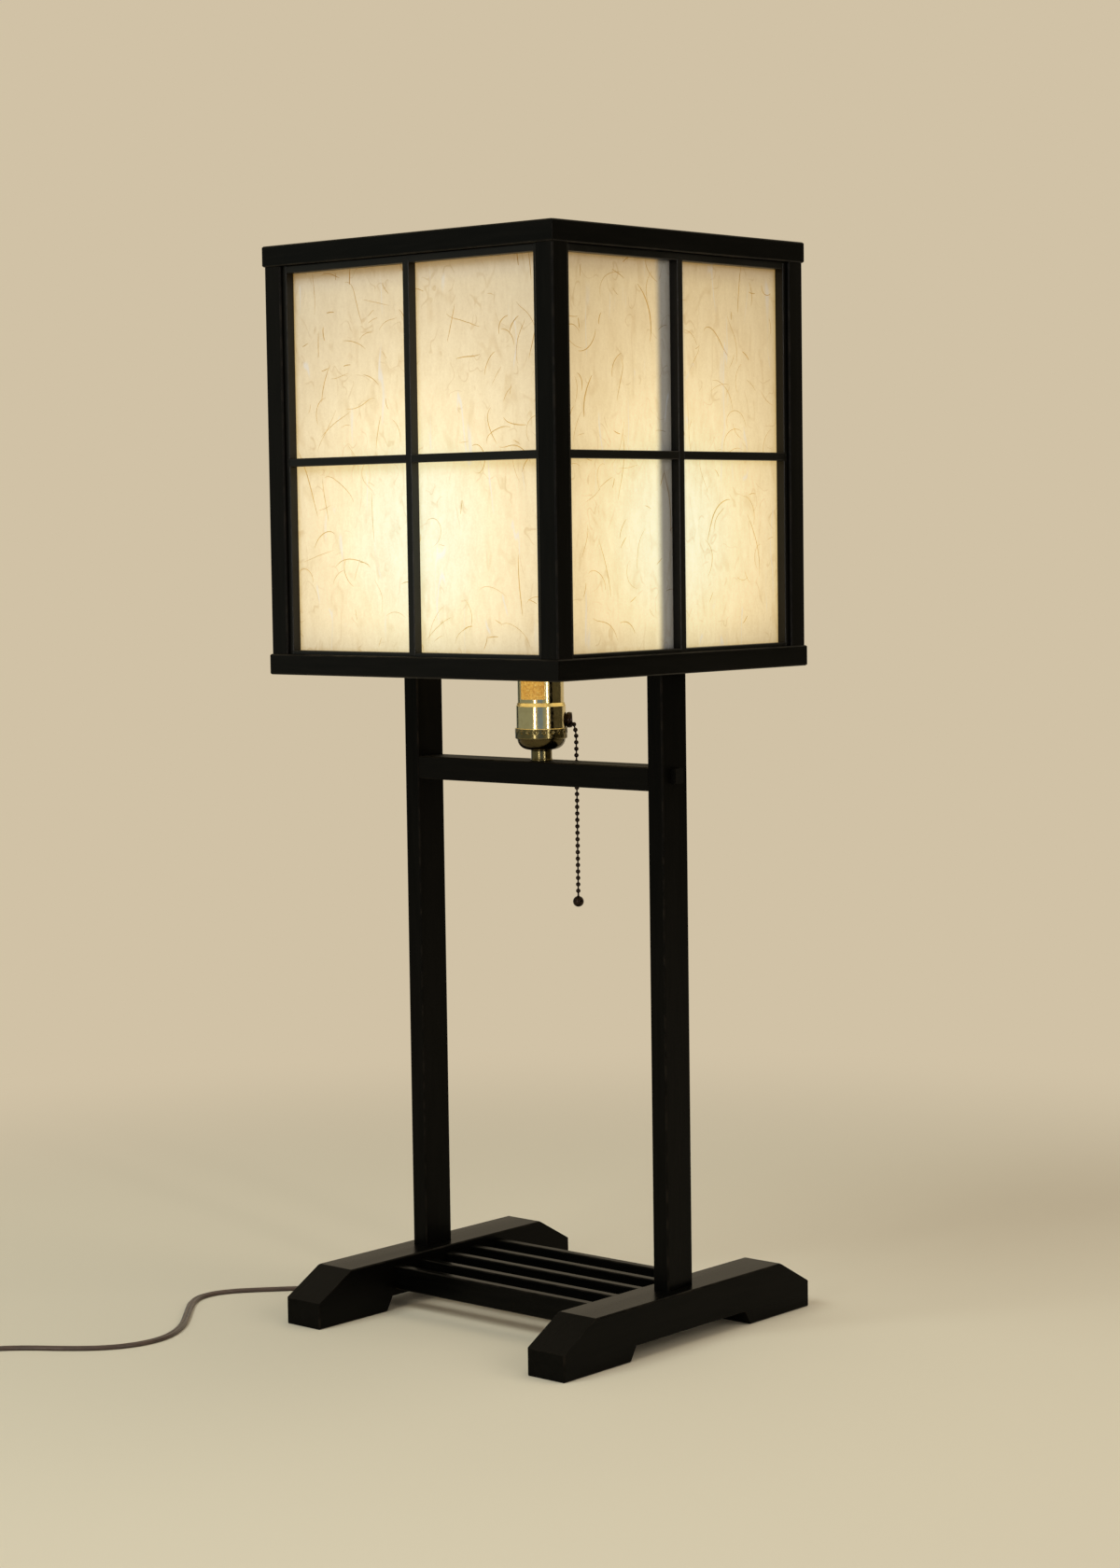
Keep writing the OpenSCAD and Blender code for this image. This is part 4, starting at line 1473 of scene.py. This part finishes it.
@dataclass(frozen=True)
class StrandKind:
    """One kind of long fibre: its share of the strands, how thick and long it is, and how it wanders.

    Lengths are in metres. The spreads are of the first heading, in radians, and of the curl at the start and
    at each step, in radians to the metre. A hook is the further curl of an end, or None.
    """

    share: float
    thick: float = 1.0
    shortest: float = 0.007
    longest: float = 0.037
    rarer_long: float = 1.6
    heading: float = 1.0
    curl: float = 70.0
    drift: float = 9.0
    hook: Place | None = (14.0, 30.0)

    def first_length(self, dice: random.Random) -> float:
        """Draws a length."""
        return self.shortest + (self.longest - self.shortest) * dice.random() ** self.rarer_long

    def first_hook(self, dice: random.Random) -> float:
        """Draws the further curl of the end, which every second strand has."""
        return dice.choice((0.0, 0.0, -1.0, 1.0)) * dice.uniform(*self.hook) if self.hook else 0.0


@dataclass
class PaperSheets:
    """Four sheets of fibre paper behind the lattice, with the longest fibres as strands of their own.

    The kinds are brown bark, tan bark and pale silk, which is long, nearly straight and upright.
    """

    cockle: float = 0.00022
    waves: Place = (24.0, 14.4)
    pattern: float = 3.7
    lean: float = 0.35
    columns: int = 46
    rows: int = 52
    wall: float = 0.0003
    sunk: float = 0.00006
    seed: int = 41
    strands: int = 100
    kinds: tuple[StrandKind, ...] = (
        StrandKind(0.28),
        StrandKind(0.62),
        StrandKind(0.10, 1.7, 0.018, 0.050, 1.0, heading=0.2, curl=12.0, drift=4.0, hook=None),
    )
    strand_r: float = 0.00015
    thinnest: float = 0.9
    thicker: float = 1.3
    fewest: int = 5
    step: float = 0.0013
    edge: float = 0.001
    spread: float = 0.97
    straightening: float = 0.985
    hooked_from: float = 0.6
    half: float = field(init=False)
    low: float = field(init=False)
    high: float = field(init=False)
    outside: float = field(init=False)
    middle: float = field(init=False)

    def __post_init__(self) -> None:
        """Takes the front sheet's size from the frame, and the height of its cross bar."""
        lowest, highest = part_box("front_paper")
        self.half, self.low, self.high, self.outside = highest.x, lowest.z, highest.z, -lowest.y
        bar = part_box("front_cross_bar")
        self.middle = (bar[0].z + bar[1].z) / 2

    def swell(self, across: float, height: float) -> float:
        """How far the sheet stands out at a place: flat where it is glued, cockled between.

        Args:
            across: Distance from the sheet's middle line.
            height: Height in the lamp.

        Returns:
            The distance.
        """
        panel = self.middle - self.low if height < self.middle else self.high - self.middle
        start = self.low if height < self.middle else self.middle
        held = abs(math.sin(math.pi * across / self.half)) * abs(math.sin(math.pi * (height - start) / panel))
        wave = noise.noise(Vector((across * self.waves[0], height * self.waves[1], self.pattern)))
        return self.cockle * math.sqrt(held) * (self.lean + wave)

    def place(self, across: float, height: float, off: float = 0.0) -> Vector:
        """A point on the front sheet's outer face, or a little off it."""
        return Vector((across, -(self.outside + self.swell(across, height) + off), height))

    def make(self, finishes: Finishes) -> None:
        """Makes the sheets, each with its own strands.

        Args:
            finishes: The lamp's finishes.
        """
        for i, side in enumerate(SIDES):
            turn = Matrix.Rotation(math.pi / 2 * i, 4, "Z")
            hand_over(self._sheet(f"{side}_sheet", turn), "shade", finishes.paper, f"{side}_paper")
            strands = self._strands(f"{side}_strands", turn, random.Random(self.seed + i))
            hand_over(strands, "shade", finishes.strands)

    def _sheet(self, name: str, turn: Matrix) -> Piece:
        """One cockled sheet with its thickness.

        Args:
            name: The sheet's name.
            turn: Turns it from the front to its own side.

        Returns:
            The sheet.
        """
        solid = bmesh.new()
        bmesh.ops.create_grid(solid, x_segments=self.columns, y_segments=self.rows, size=0.5)
        for vert in solid.verts:
            height = self.low + (vert.co.y + 0.5) * (self.high - self.low)
            vert.co = self.place(2 * vert.co.x * self.half, height, -self.sunk)
        bmesh.ops.transform(solid, matrix=turn, verts=solid.verts)
        sheet = to_piece(solid, name)
        wall = sheet.modifiers.new("paper", "SOLIDIFY")
        wall.thickness = self.wall
        wall.offset = -1.0
        return sheet

    def _strands(self, name: str, turn: Matrix, dice: random.Random) -> Piece:
        """Curly strands scattered over one sheet, as one curve of many splines.

        Args:
            name: The piece's name.
            turn: Turns it from the front to its own side.
            dice: Where the draws come from.

        Returns:
            The strands.
        """
        data = bpy.data.curves.new(name, "CURVE")
        data.dimensions = "3D"
        data.bevel_depth = self.strand_r
        data.bevel_resolution = 0
        data.use_fill_caps = True
        shares = [kind.share for kind in self.kinds]
        for _ in range(self.strands):
            number = dice.choices(range(len(shares)), shares)[0]
            kind = self.kinds[number]
            points = self._strand(dice, kind)
            if len(points) < self.fewest:
                continue
            spline = data.splines.new("POLY")
            spline.points.add(len(points) - 1)
            spline.material_index = number
            thick = (self.thinnest + self.thicker * dice.random() ** 2) * kind.thick
            for i, (target, (across, height)) in enumerate(zip(spline.points, points)):
                target.co = (*(turn @ self.place(across, height)), 1.0)
                target.radius = thick * math.sqrt(math.sin(math.pi * (i + 0.6) / (len(points) + 0.2)))
        strands = bpy.data.objects.new(name, data)
        bpy.context.scene.collection.objects.link(strands)
        return strands

    def _strand(self, dice: random.Random, kind: StrandKind) -> list[Place]:
        """A curling walk over the sheet.

        Args:
            dice: Where the draws come from.
            kind: The strand's kind.

        Returns:
            Its points as (across, height).
        """
        across = dice.uniform(-self.half, self.half) * self.spread
        height = dice.uniform(self.low + 4 * self.edge, self.high - 4 * self.edge)
        heading = dice.gauss(math.pi / 2, kind.heading)
        count = round(kind.first_length(dice) / self.step)
        curl = dice.gauss(0, kind.curl)
        hook = kind.first_hook(dice)
        points = []
        for i in range(count):
            points.append((across, height))
            curl += dice.gauss(0, kind.drift) + (hook if i > self.hooked_from * count else 0.0)
            curl *= self.straightening
            heading += curl * self.step
            across += math.cos(heading) * self.step
            height += math.sin(heading) * self.step
            inside = self.low + self.edge < height < self.high - self.edge
            if not inside or abs(across) > self.half - self.edge:
                break
        return points


# Socket, chain and bulb


@dataclass
class Socket:
    """Brass pull-chain socket on its neck, with what it holds inside."""

    bar_top: float = 386.0
    neck_top: float = 393.0
    neck_r: float = 7.2
    rim_z: float = 401.0
    cap_top: float = 408.5
    shoulder_z: float = 423.2
    shell_top: float = 455.2
    shell_r: float = 15.95
    skirt_r: float = 17.05
    rim_r: float = 17.95
    wall: float = 0.8
    bowl_in: float = 8.5
    bowl: Place = (8.0, 7.4)
    body_top: float = 427.2
    body_r: float = 11.0
    screw_in: float = 13.4
    screw_out: float = 13.9
    screw_depth: float = 0.45
    nipple_pitch: float = 0.94
    bell_z: float = 413.5
    bell_turn: float = math.radians(45)
    bell_out: float = 21.1
    bell_hole: float = 3.0
    dimples: int = 20
    dimple_r: float = 1.5
    dimple_depth: float = 0.5
    dimple_drop: float = 2.3
    first_dimple: float = math.radians(11.6)
    # Depth and heights, in millimetres, of the painted highlights on the cap's lip and the shell's shoulder.
    painted_lip_highlight: float = 0.45
    painted_shoulder_highlight: Place = (0.3, 2.6)
    # Strength of the painted shade in the cap's bowl.
    grime: float = 0.75

    def make(self, finishes: Finishes) -> None:
        """Makes every piece of the socket.

        Args:
            finishes: The lamp's finishes.
        """
        old = finishes.old_brass
        for name, outline, steps, crease, dressing, node in (
            ("neck", self.neck(), 96, 35, old, "brass_neck"),
            ("nipple", self.nipple(), 48, 60, old, "threaded_nipple"),
            ("sleeve", self.sleeve(), 64, 35, finishes.board, "insulating_sleeve"),
        ):
            hand_over(to_piece(lathe(outline, steps), name, crease), "stand", dressing, node)
        cap = lathe(self.cap(), 300, shape=self._dimple)
        # Painted highlight: the cap's rolled lip is marked bright, as if it caught the light from above.
        mark_band(cap, "arris", self.cap_top - self.painted_lip_highlight, self.cap_top + 0.1)
        # Painted shade: the bowl under the cap is marked to be darker.
        mark_band(cap, "grime", self.neck_top - 1.0, self.rim_z - 0.2, self.grime)
        hand_over(to_piece(cap, "cap", 50), "stand", old, "socket_cap")
        shell = lathe(self.shell(), 160, shape=self._open_for_bell)
        # Painted highlight: the shell's shoulder is marked bright, as if it reflected the bulb's light.
        low, high = (self.shoulder_z + rise for rise in self.painted_shoulder_highlight)
        mark_band(shell, "arris", low, high)
        hand_over(to_piece(shell, "shell", 50), "stand", finishes.shell, "socket_shell")
        bell = lathe(self.bell(), 56)
        place = facing_out(self.bell_turn, self.skirt_r, self.bell_z)
        bmesh.ops.transform(bell, matrix=place, verts=bell.verts)
        hand_over(to_piece(bell, "bell", 50), "stand", finishes.bronze, "chain_bell")
        screw = lathe(self.screw(), 72, shape=self._thread)
        hand_over(to_piece(screw, "screw_thread", 50), "stand", finishes.brass, "screw_shell")
        hand_over(Softening(0.4).copy("locknut", "hex_nut"), "stand", old, "locknut")
        self._inner_body(finishes)

    def neck(self) -> Outline:
        """Short tube with a foot on the crossbar.

        Returns:
            Its half outline, in millimetres.
        """
        low, high, wall, bore = self.bar_top, self.neck_top, self.neck_r, 5.0
        return [
            (bore, low), (wall + 0.3, low), (wall + 0.5, low + 0.2), (wall + 0.5, low + 0.8),
            (wall + 0.35, low + 1.05), (wall + 0.1, low + 1.25), (wall, low + 1.6), (wall, high - 0.5),
            (wall - 0.1, high - 0.2), (wall - 0.4, high), (bore, high),
        ]

    def nipple(self) -> Outline:
        """Hollow nipple, its thread drawn as close grooves.

        Returns:
            Its half outline, in millimetres.
        """
        low, high, pitch, bore, root = self.bar_top - 9.5, self.neck_top + 5, self.nipple_pitch, 3.5, 4.7
        grooves = [point for i in range(int((high - low) / pitch))
                   for point in ((root + 0.3, low + (i + 0.3) * pitch), (root, low + (i + 0.8) * pitch))]
        return [(bore, low), (root - 0.1, low), *grooves, (root, high), (bore, high)]

    def cap(self) -> Outline:
        """Pressed bowl with a taller rim, and its wall.

        Returns:
            Its half outline, in millimetres.
        """
        bore, edge, (wide, deep) = 5.0, self.rim_r, self.bowl
        round_bowl = arc((0, 0), 1.0, -90, 0, 14)
        outside = [(self.bowl_in + wide * c, self.rim_z + deep * s) for c, s in round_bowl]
        inside = [(self.bowl_in + (wide - self.wall) * c, self.rim_z + (deep - self.wall) * s)
                  for c, s in reversed(round_bowl)]
        return [
            (bore, self.neck_top), (self.neck_r + 0.2, self.neck_top), *outside,
            (edge - 0.75, self.rim_z + 0.1), *arc((edge - 0.6, self.rim_z + 0.8), 0.6, -80, 0, 4),
            *ladder(edge, self.rim_z + 1.2, self.cap_top - 0.6, 0.28),
            *arc((edge - 0.4, self.cap_top - 0.4), 0.4, 0, 180, 6),
            (edge - self.wall, self.rim_z + 1), *inside, (bore, self.neck_top + 1.2),
        ]

    def _dimple(self, solid: Solid) -> None:
        """Presses round dimples into the cap's rim.

        Args:
            solid: The turned cap.
        """
        pitch = math.tau / self.dimples
        middle = self.cap_top - self.dimple_drop
        for vert in solid.verts:
            across = math.hypot(vert.co.x, vert.co.y) / MM
            if abs(across - self.rim_r) > 0.01:
                continue
            turn = (math.atan2(vert.co.y, vert.co.x) - self.first_dimple) % pitch
            beside = min(turn, pitch - turn) * self.rim_r
            off = math.hypot(beside, vert.co.z / MM - middle) / self.dimple_r
            if off < 1:
                shrink = 1 - self.dimple_depth * (1 - off ** 4) / across
                vert.co.x, vert.co.y = vert.co.x * shrink, vert.co.y * shrink

    def shell(self) -> Outline:
        """Skirt, shoulder and upper wall with a rolled lip.

        Returns:
            Its half outline, in millimetres.
        """
        skirt, upper, wall = self.skirt_r, self.shell_r, self.wall
        low, turn, top = self.cap_top - 5, self.shoulder_z, self.shell_top
        return [
            *ladder(skirt, low, turn, 0.72), *arc((skirt - 1.0, turn), 1.0, 0, 60, 5)[1:],
            *arc((upper + 0.75, turn + 2.9), 0.75, 240, 180, 4),
            *ladder(upper, turn + 3.6, top - 2.2, 4.0), *arc((upper - 0.33, top - 0.85), 0.85, -62, 160, 12),
            (upper - wall, top - 1.6), (upper - wall, turn + 3.0), *arc((skirt - 1.9, turn), 1.1, 60, 10, 3),
            *ladder(skirt - wall, turn - 0.2, low, 0.72),
        ]

    def _open_for_bell(self, solid: Solid) -> None:
        """Cuts the shell's hole for the bell, and joins its outer and inner rim.

        Args:
            solid: The turned shell.
        """
        way = Vector((math.cos(self.bell_turn), math.sin(self.bell_turn), 0.0))
        centre = Vector((0, 0, self.bell_z * MM))
        doomed = []
        for face in solid.faces:
            off = face.calc_center_median() - centre
            along = off.dot(way)
            if along > self.shell_r / 2 * MM and (off - way * along).length < self.bell_hole * MM:
                doomed.append(face)
        bmesh.ops.delete(solid, geom=doomed, context="FACES")
        bmesh.ops.bridge_loops(solid, edges=[edge for edge in solid.edges if edge.is_boundary])

    def bell(self) -> Outline:
        """Flared mouth and round belly, in the bell's own axis from the shell's wall outwards.

        Returns:
            Its half outline, in millimetres.
        """
        out, flare = self.bell_out - self.skirt_r, 2.6
        mouth = [(5.0 - flare * c, out - flare + flare * s) for c, s in arc((0, 0), 1.0, 0, 90, 10)]
        belly = [(4.0 + 1.45 * c, 0.05 + 2.2 * (1 + s)) for c, s in arc((0, 0), 1.0, 32, -90, 14)]
        return [(2.4, -3), *mouth, (5.14, out - 0.07), (5.22, out - 0.24), *belly, (3.4, 0.05), (3.4, -3)]

    def screw(self) -> Outline:
        """Screw shell with its floor, open above and holed below.

        Returns:
            Its half outline, in millimetres.
        """
        low, high, inner, outer, hole = self.body_top, self.shell_top - 3, self.screw_in, self.screw_out, 4.0
        return [(hole, low), (outer - 0.3, low), *ladder(outer, low + 0.3, high, 0.42),
                ((inner + outer) / 2, high + 0.12), *ladder(inner, high, low + 1.4, 0.42),
                (inner - 0.4, low + 1.0), (hole, low + 1.0)]

    def _thread(self, solid: Solid) -> None:
        """Presses the thread into both faces of the screw shell."""
        for radius in (self.screw_in, self.screw_out):
            Thread(radius, BULB_PITCH, self.screw_depth, self.body_top + 3, self.shell_top - 3.2).press(solid)

    def sleeve(self) -> Outline:
        """Pressed board tube inside the upper shell.

        Returns:
            Its half outline, in millimetres.
        """
        low, high, inner, outer = self.shoulder_z + 3, self.shell_top - 1, 14.45, 15.05
        return [(inner, low), (outer, low), (outer, high - 0.1), (outer - 0.1, high), (inner + 0.1, high),
                (inner, high - 0.1)]

    def _inner_body(self, finishes: Finishes) -> None:
        """Moulded body with its waist, two terminal screws and the springy centre contact.

        Args:
            finishes: The lamp's finishes.
        """
        top, low, waist, brim, bore = self.body_top, self.rim_z, self.body_r, 14.3, 4.0
        body = [
            (bore, low), (waist - 0.3, low), (waist, low + 0.3), (waist, top - 12.4), (waist + 0.3, top - 12),
            (brim - 0.3, top - 12), (brim, top - 11.7), (brim, top - 0.3), (brim - 0.3, top), (0, top),
            (0, low + 7), (bore, low + 7),
        ]
        hand_over(to_piece(lathe(body, 72), "moulded_body", 35), "stand", finishes.moulding, "socket_body")
        head = [(0, -1.5), (3, -1.5), (3, 1.2), (2.8, 1.6), (2.0, 1.95), (0, 2.05)]
        for i, turn in enumerate((135, 315)):
            screw = lathe(head, 28, closed=False)
            place = facing_out(math.radians(turn), waist, low + 4)
            bmesh.ops.transform(screw, matrix=place, verts=screw.verts)
            hand_over(to_piece(screw, f"terminal_screw_{i + 1}", 35), "stand", finishes.brass)
        tongue = [(0, top - 0.2), (2.5, top - 0.2), (2.5, top + 0.6), (1.7, top + 1.3), (1.6, top + 2.4),
                  (2.2, top + 2.9), (2.0, top + 3.3), (0, top + 3.45)]
        hand_over(to_piece(lathe(tongue, 32, closed=False), "centre_contact", 35), "stand", finishes.brass)


@dataclass
class PullChain:
    """Bead chain from the bell to its end ball, which hangs by a short link.

    Places are in the chain's own plane: out from the lamp's axis, and up from the middle of the bell.
    """

    socket: Socket
    bead_r: float = 1.6
    link_r: float = 0.55
    pitch: float = 4.45
    hanging: int = 25
    gap: float = 0.15
    inset: float = 0.3
    pole: float = 0.93
    flattened: float = 0.86
    feed: Place = (20.0, -0.3)
    lead: tuple[Place, Place] = ((22.5, -3.2), (23.4, -7.0))
    hang: Place = (23.9, -11.1)
    ball_r: float = 3.75
    ball_drop: float = 2.0

    def at(self, place: Place) -> Vector:
        """A place in the chain's own plane as a point of the lamp."""
        out, turn = place[0] * MM, self.socket.bell_turn
        return Vector((out * math.cos(turn), out * math.sin(turn), (self.socket.bell_z + place[1]) * MM))

    def add_bead(self, solid: Solid, at: Vector, along: Vector) -> None:
        """Adds a bead, flattened at the two poles that its links leave by.

        Args:
            solid: The mesh that it goes into.
            at: Its middle.
            along: The way that the chain runs there.
        """
        radius = self.bead_r * MM
        made = bmesh.ops.create_uvsphere(solid, u_segments=20, v_segments=14, radius=radius)["verts"]
        for vert in made:
            if abs(vert.co.z) > radius * self.pole:
                vert.co.z *= self.flattened
        self._put(solid, made, at, along)

    def add_link(self, solid: Solid, start: Vector, end: Vector) -> None:
        """Adds a round link between two places.

        Args:
            solid: The mesh that it goes into.
            start: Its one end.
            end: Its other end.
        """
        thick, length = self.link_r * MM, (end - start).length
        made = bmesh.ops.create_cone(
            solid, cap_ends=True, segments=10, radius1=thick, radius2=thick, depth=length
        )["verts"]
        self._put(solid, made, (start + end) / 2, end - start)

    def _put(self, solid: Solid, made: list, at: Vector, along: Vector) -> None:
        """Turns what stands along Z at the origin, and moves it to its place."""
        turn = along.to_track_quat("Z", "Y").to_matrix().to_4x4()
        bmesh.ops.transform(solid, matrix=Matrix.Translation(at) @ turn, verts=made)

    def make(self, finishes: Finishes) -> None:
        """Makes the feed bead, the lead and the hanging chain.

        Args:
            finishes: The lamp's finishes.
        """
        feed, first, second, hang = (self.at(place) for place in (self.feed, *self.lead, self.hang))
        short = (self.bead_r + self.gap) * MM
        solid = bmesh.new()
        self.add_bead(solid, feed, first - feed)
        hand_over(to_piece(solid, "feed_bead"), "chain_feed", finishes.bronze, "feed_ball")
        solid = bmesh.new()
        self.add_bead(solid, first, second - first)
        self.add_bead(solid, second, hang - second)
        self.add_link(solid, first, second)
        self.add_link(solid, first, feed + (first - feed).normalized() * short)
        hand_over(to_piece(solid, "lead_beads", 50), "chain_lead", finishes.bronze, "chain_lead")
        hand_over(self._hanging(second, hang), "pull_chain", finishes.bronze, "pull_chain")

    def _hanging(self, pivot: Vector, hang: Vector) -> Piece:
        """The hanging beads on the link that turns in the last lead bead, with the end ball below them.

        Args:
            pivot: The middle of the last lead bead.
            hang: The middle of the first hanging bead.

        Returns:
            The hanging chain.
        """
        down = Vector((0, 0, -self.pitch * MM))
        beads = [hang + down * i for i in range(self.hanging)]
        ball = arc((0, -self.ball_r), self.ball_r, -90, 72, 27)
        collar = [(1.0, -0.04), (0.8, 0.14), (0.62, 0.4)]
        stem = [(self.link_r + 0.01, self.ball_drop + 0.3), (0, self.ball_drop + 0.35)]
        solid = lathe([*ball, *collar, *stem], 40, closed=False)
        top = beads[-1] - Vector((0, 0, (self.bead_r + self.ball_drop) * MM))
        bmesh.ops.transform(solid, matrix=Matrix.Translation(top), verts=solid.verts)
        self.add_link(solid, pivot + (hang - pivot).normalized() * (self.bead_r - self.inset) * MM, hang)
        for bead in beads:
            self.add_bead(solid, bead, down)
        for above, below in pairwise(beads):
            self.add_link(solid, above, below)
        return to_piece(solid, "hanging_beads", 50)


@dataclass
class Bulb:
    """Frosted bulb with its screw base and solder contact."""

    contact_z: float = 430.7
    contact_h: float = 1.4
    base_r: float = 12.95
    base_h: float = 25.6
    thread_depth: float = 0.75
    glass_l: float = 84.0
    glass_r: float = 30.0
    neck_r: float = 11.9
    neck_l: float = 6.0
    collar: Place = (13.2, 3.0)
    glass_t: float = 0.9
    below_ball: float = -48.0
    sweep_steps: int = 15

    def contact(self) -> Outline:
        """Half outline of the solder dome."""
        low, top = self.contact_z, self.contact_z + self.contact_h
        return [(0, low), (2, low), (3.2, low + 0.25), (3.9, low + 0.7), (4, low + 1.1), (4, top), (0, top)]

    def base(self, foot: float, top: float) -> Outline:
        """Half outline of the screw base between two heights.

        Args:
            foot: Where it stands on the solder dome.
            top: Where its wall ends round the glass.

        Returns:
            The outline, in millimetres.
        """
        wall = self.base_r
        return [(0, foot), (6, foot), *arc((6.6, foot + 3.6), 4.4, -70, -20, 5), (wall - 0.4, foot + 4.2),
                *ladder(wall, foot + 4.7, top - 0.3, 0.42), (wall - 0.2, top), (wall - 0.9, top),
                (wall - 1, foot + 6), (0, foot + 6)]

    def glass(self, inset: float) -> list[Place]:
        """Half outline of the glass from the neck to the crown, above the base's top.

        Args:
            inset: How far it lies inside the outer face.

        Returns:
            The outline, in millimetres.
        """
        low = math.radians(self.below_ball)
        ball = self.glass_l - self.glass_r
        shoulder = (self.glass_r * math.cos(low), ball + self.glass_r * math.sin(low))
        wide, high = self.collar
        neck = self.neck_r - inset
        sweep = []
        for i in range(self.sweep_steps):
            share = i / self.sweep_steps
            across = wide - inset + (shoulder[0] - wide) * (share + share * share) / 2
            sweep.append((across, high + (shoulder[1] - high) * share))
        return [(neck, -self.neck_l), (neck, 0.3), (wide - inset - 0.25, 1.3), *sweep,
                *arc((0, ball), self.glass_r - inset, self.below_ball, 88, 34), (0, self.glass_l - inset)]

    def make(self, finishes: Finishes) -> None:
        """Makes the bulb's three pieces.

        Args:
            finishes: The lamp's finishes.
        """
        dome = lathe(self.contact(), 40, closed=False)
        hand_over(to_piece(dome, "solder_dome", 50), "bulb_tip", finishes.solder, "bulb_contact")
        foot = self.contact_z + self.contact_h
        top = foot + self.base_h
        thread = Thread(self.base_r, BULB_PITCH, self.thread_depth, foot + 4.9, top - 3.0)
        base = lathe(self.base(foot, top), 72, closed=False, shape=thread.press)
        hand_over(to_piece(base, "screw_base", 50), "bulb", finishes.brass, "bulb_base")
        wall = [*self.glass(0.0), *reversed(self.glass(self.glass_t))]
        glass = lathe([(across, height + top) for across, height in wall], 64)
        hand_over(to_piece(glass, "glass", 60), "bulb", finishes.glass, "bulb_glass")


def main() -> None:
    """Loads the frame and builds the lamp's looks round it."""
    logging.basicConfig(level=logging.INFO, format="%(name)s: %(message)s")
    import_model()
    bpy.context.scene.view_settings.view_transform = "Standard"
    Viewpoint().set_up()
    Studio().set_up()
    finishes = Finishes.make()
    socket = Socket()
    for part in (MainsCord(), Joinery(), PaperSheets(), socket, PullChain(socket), Bulb()):
        part.make(finishes)


if __name__ == "__main__":
    main()
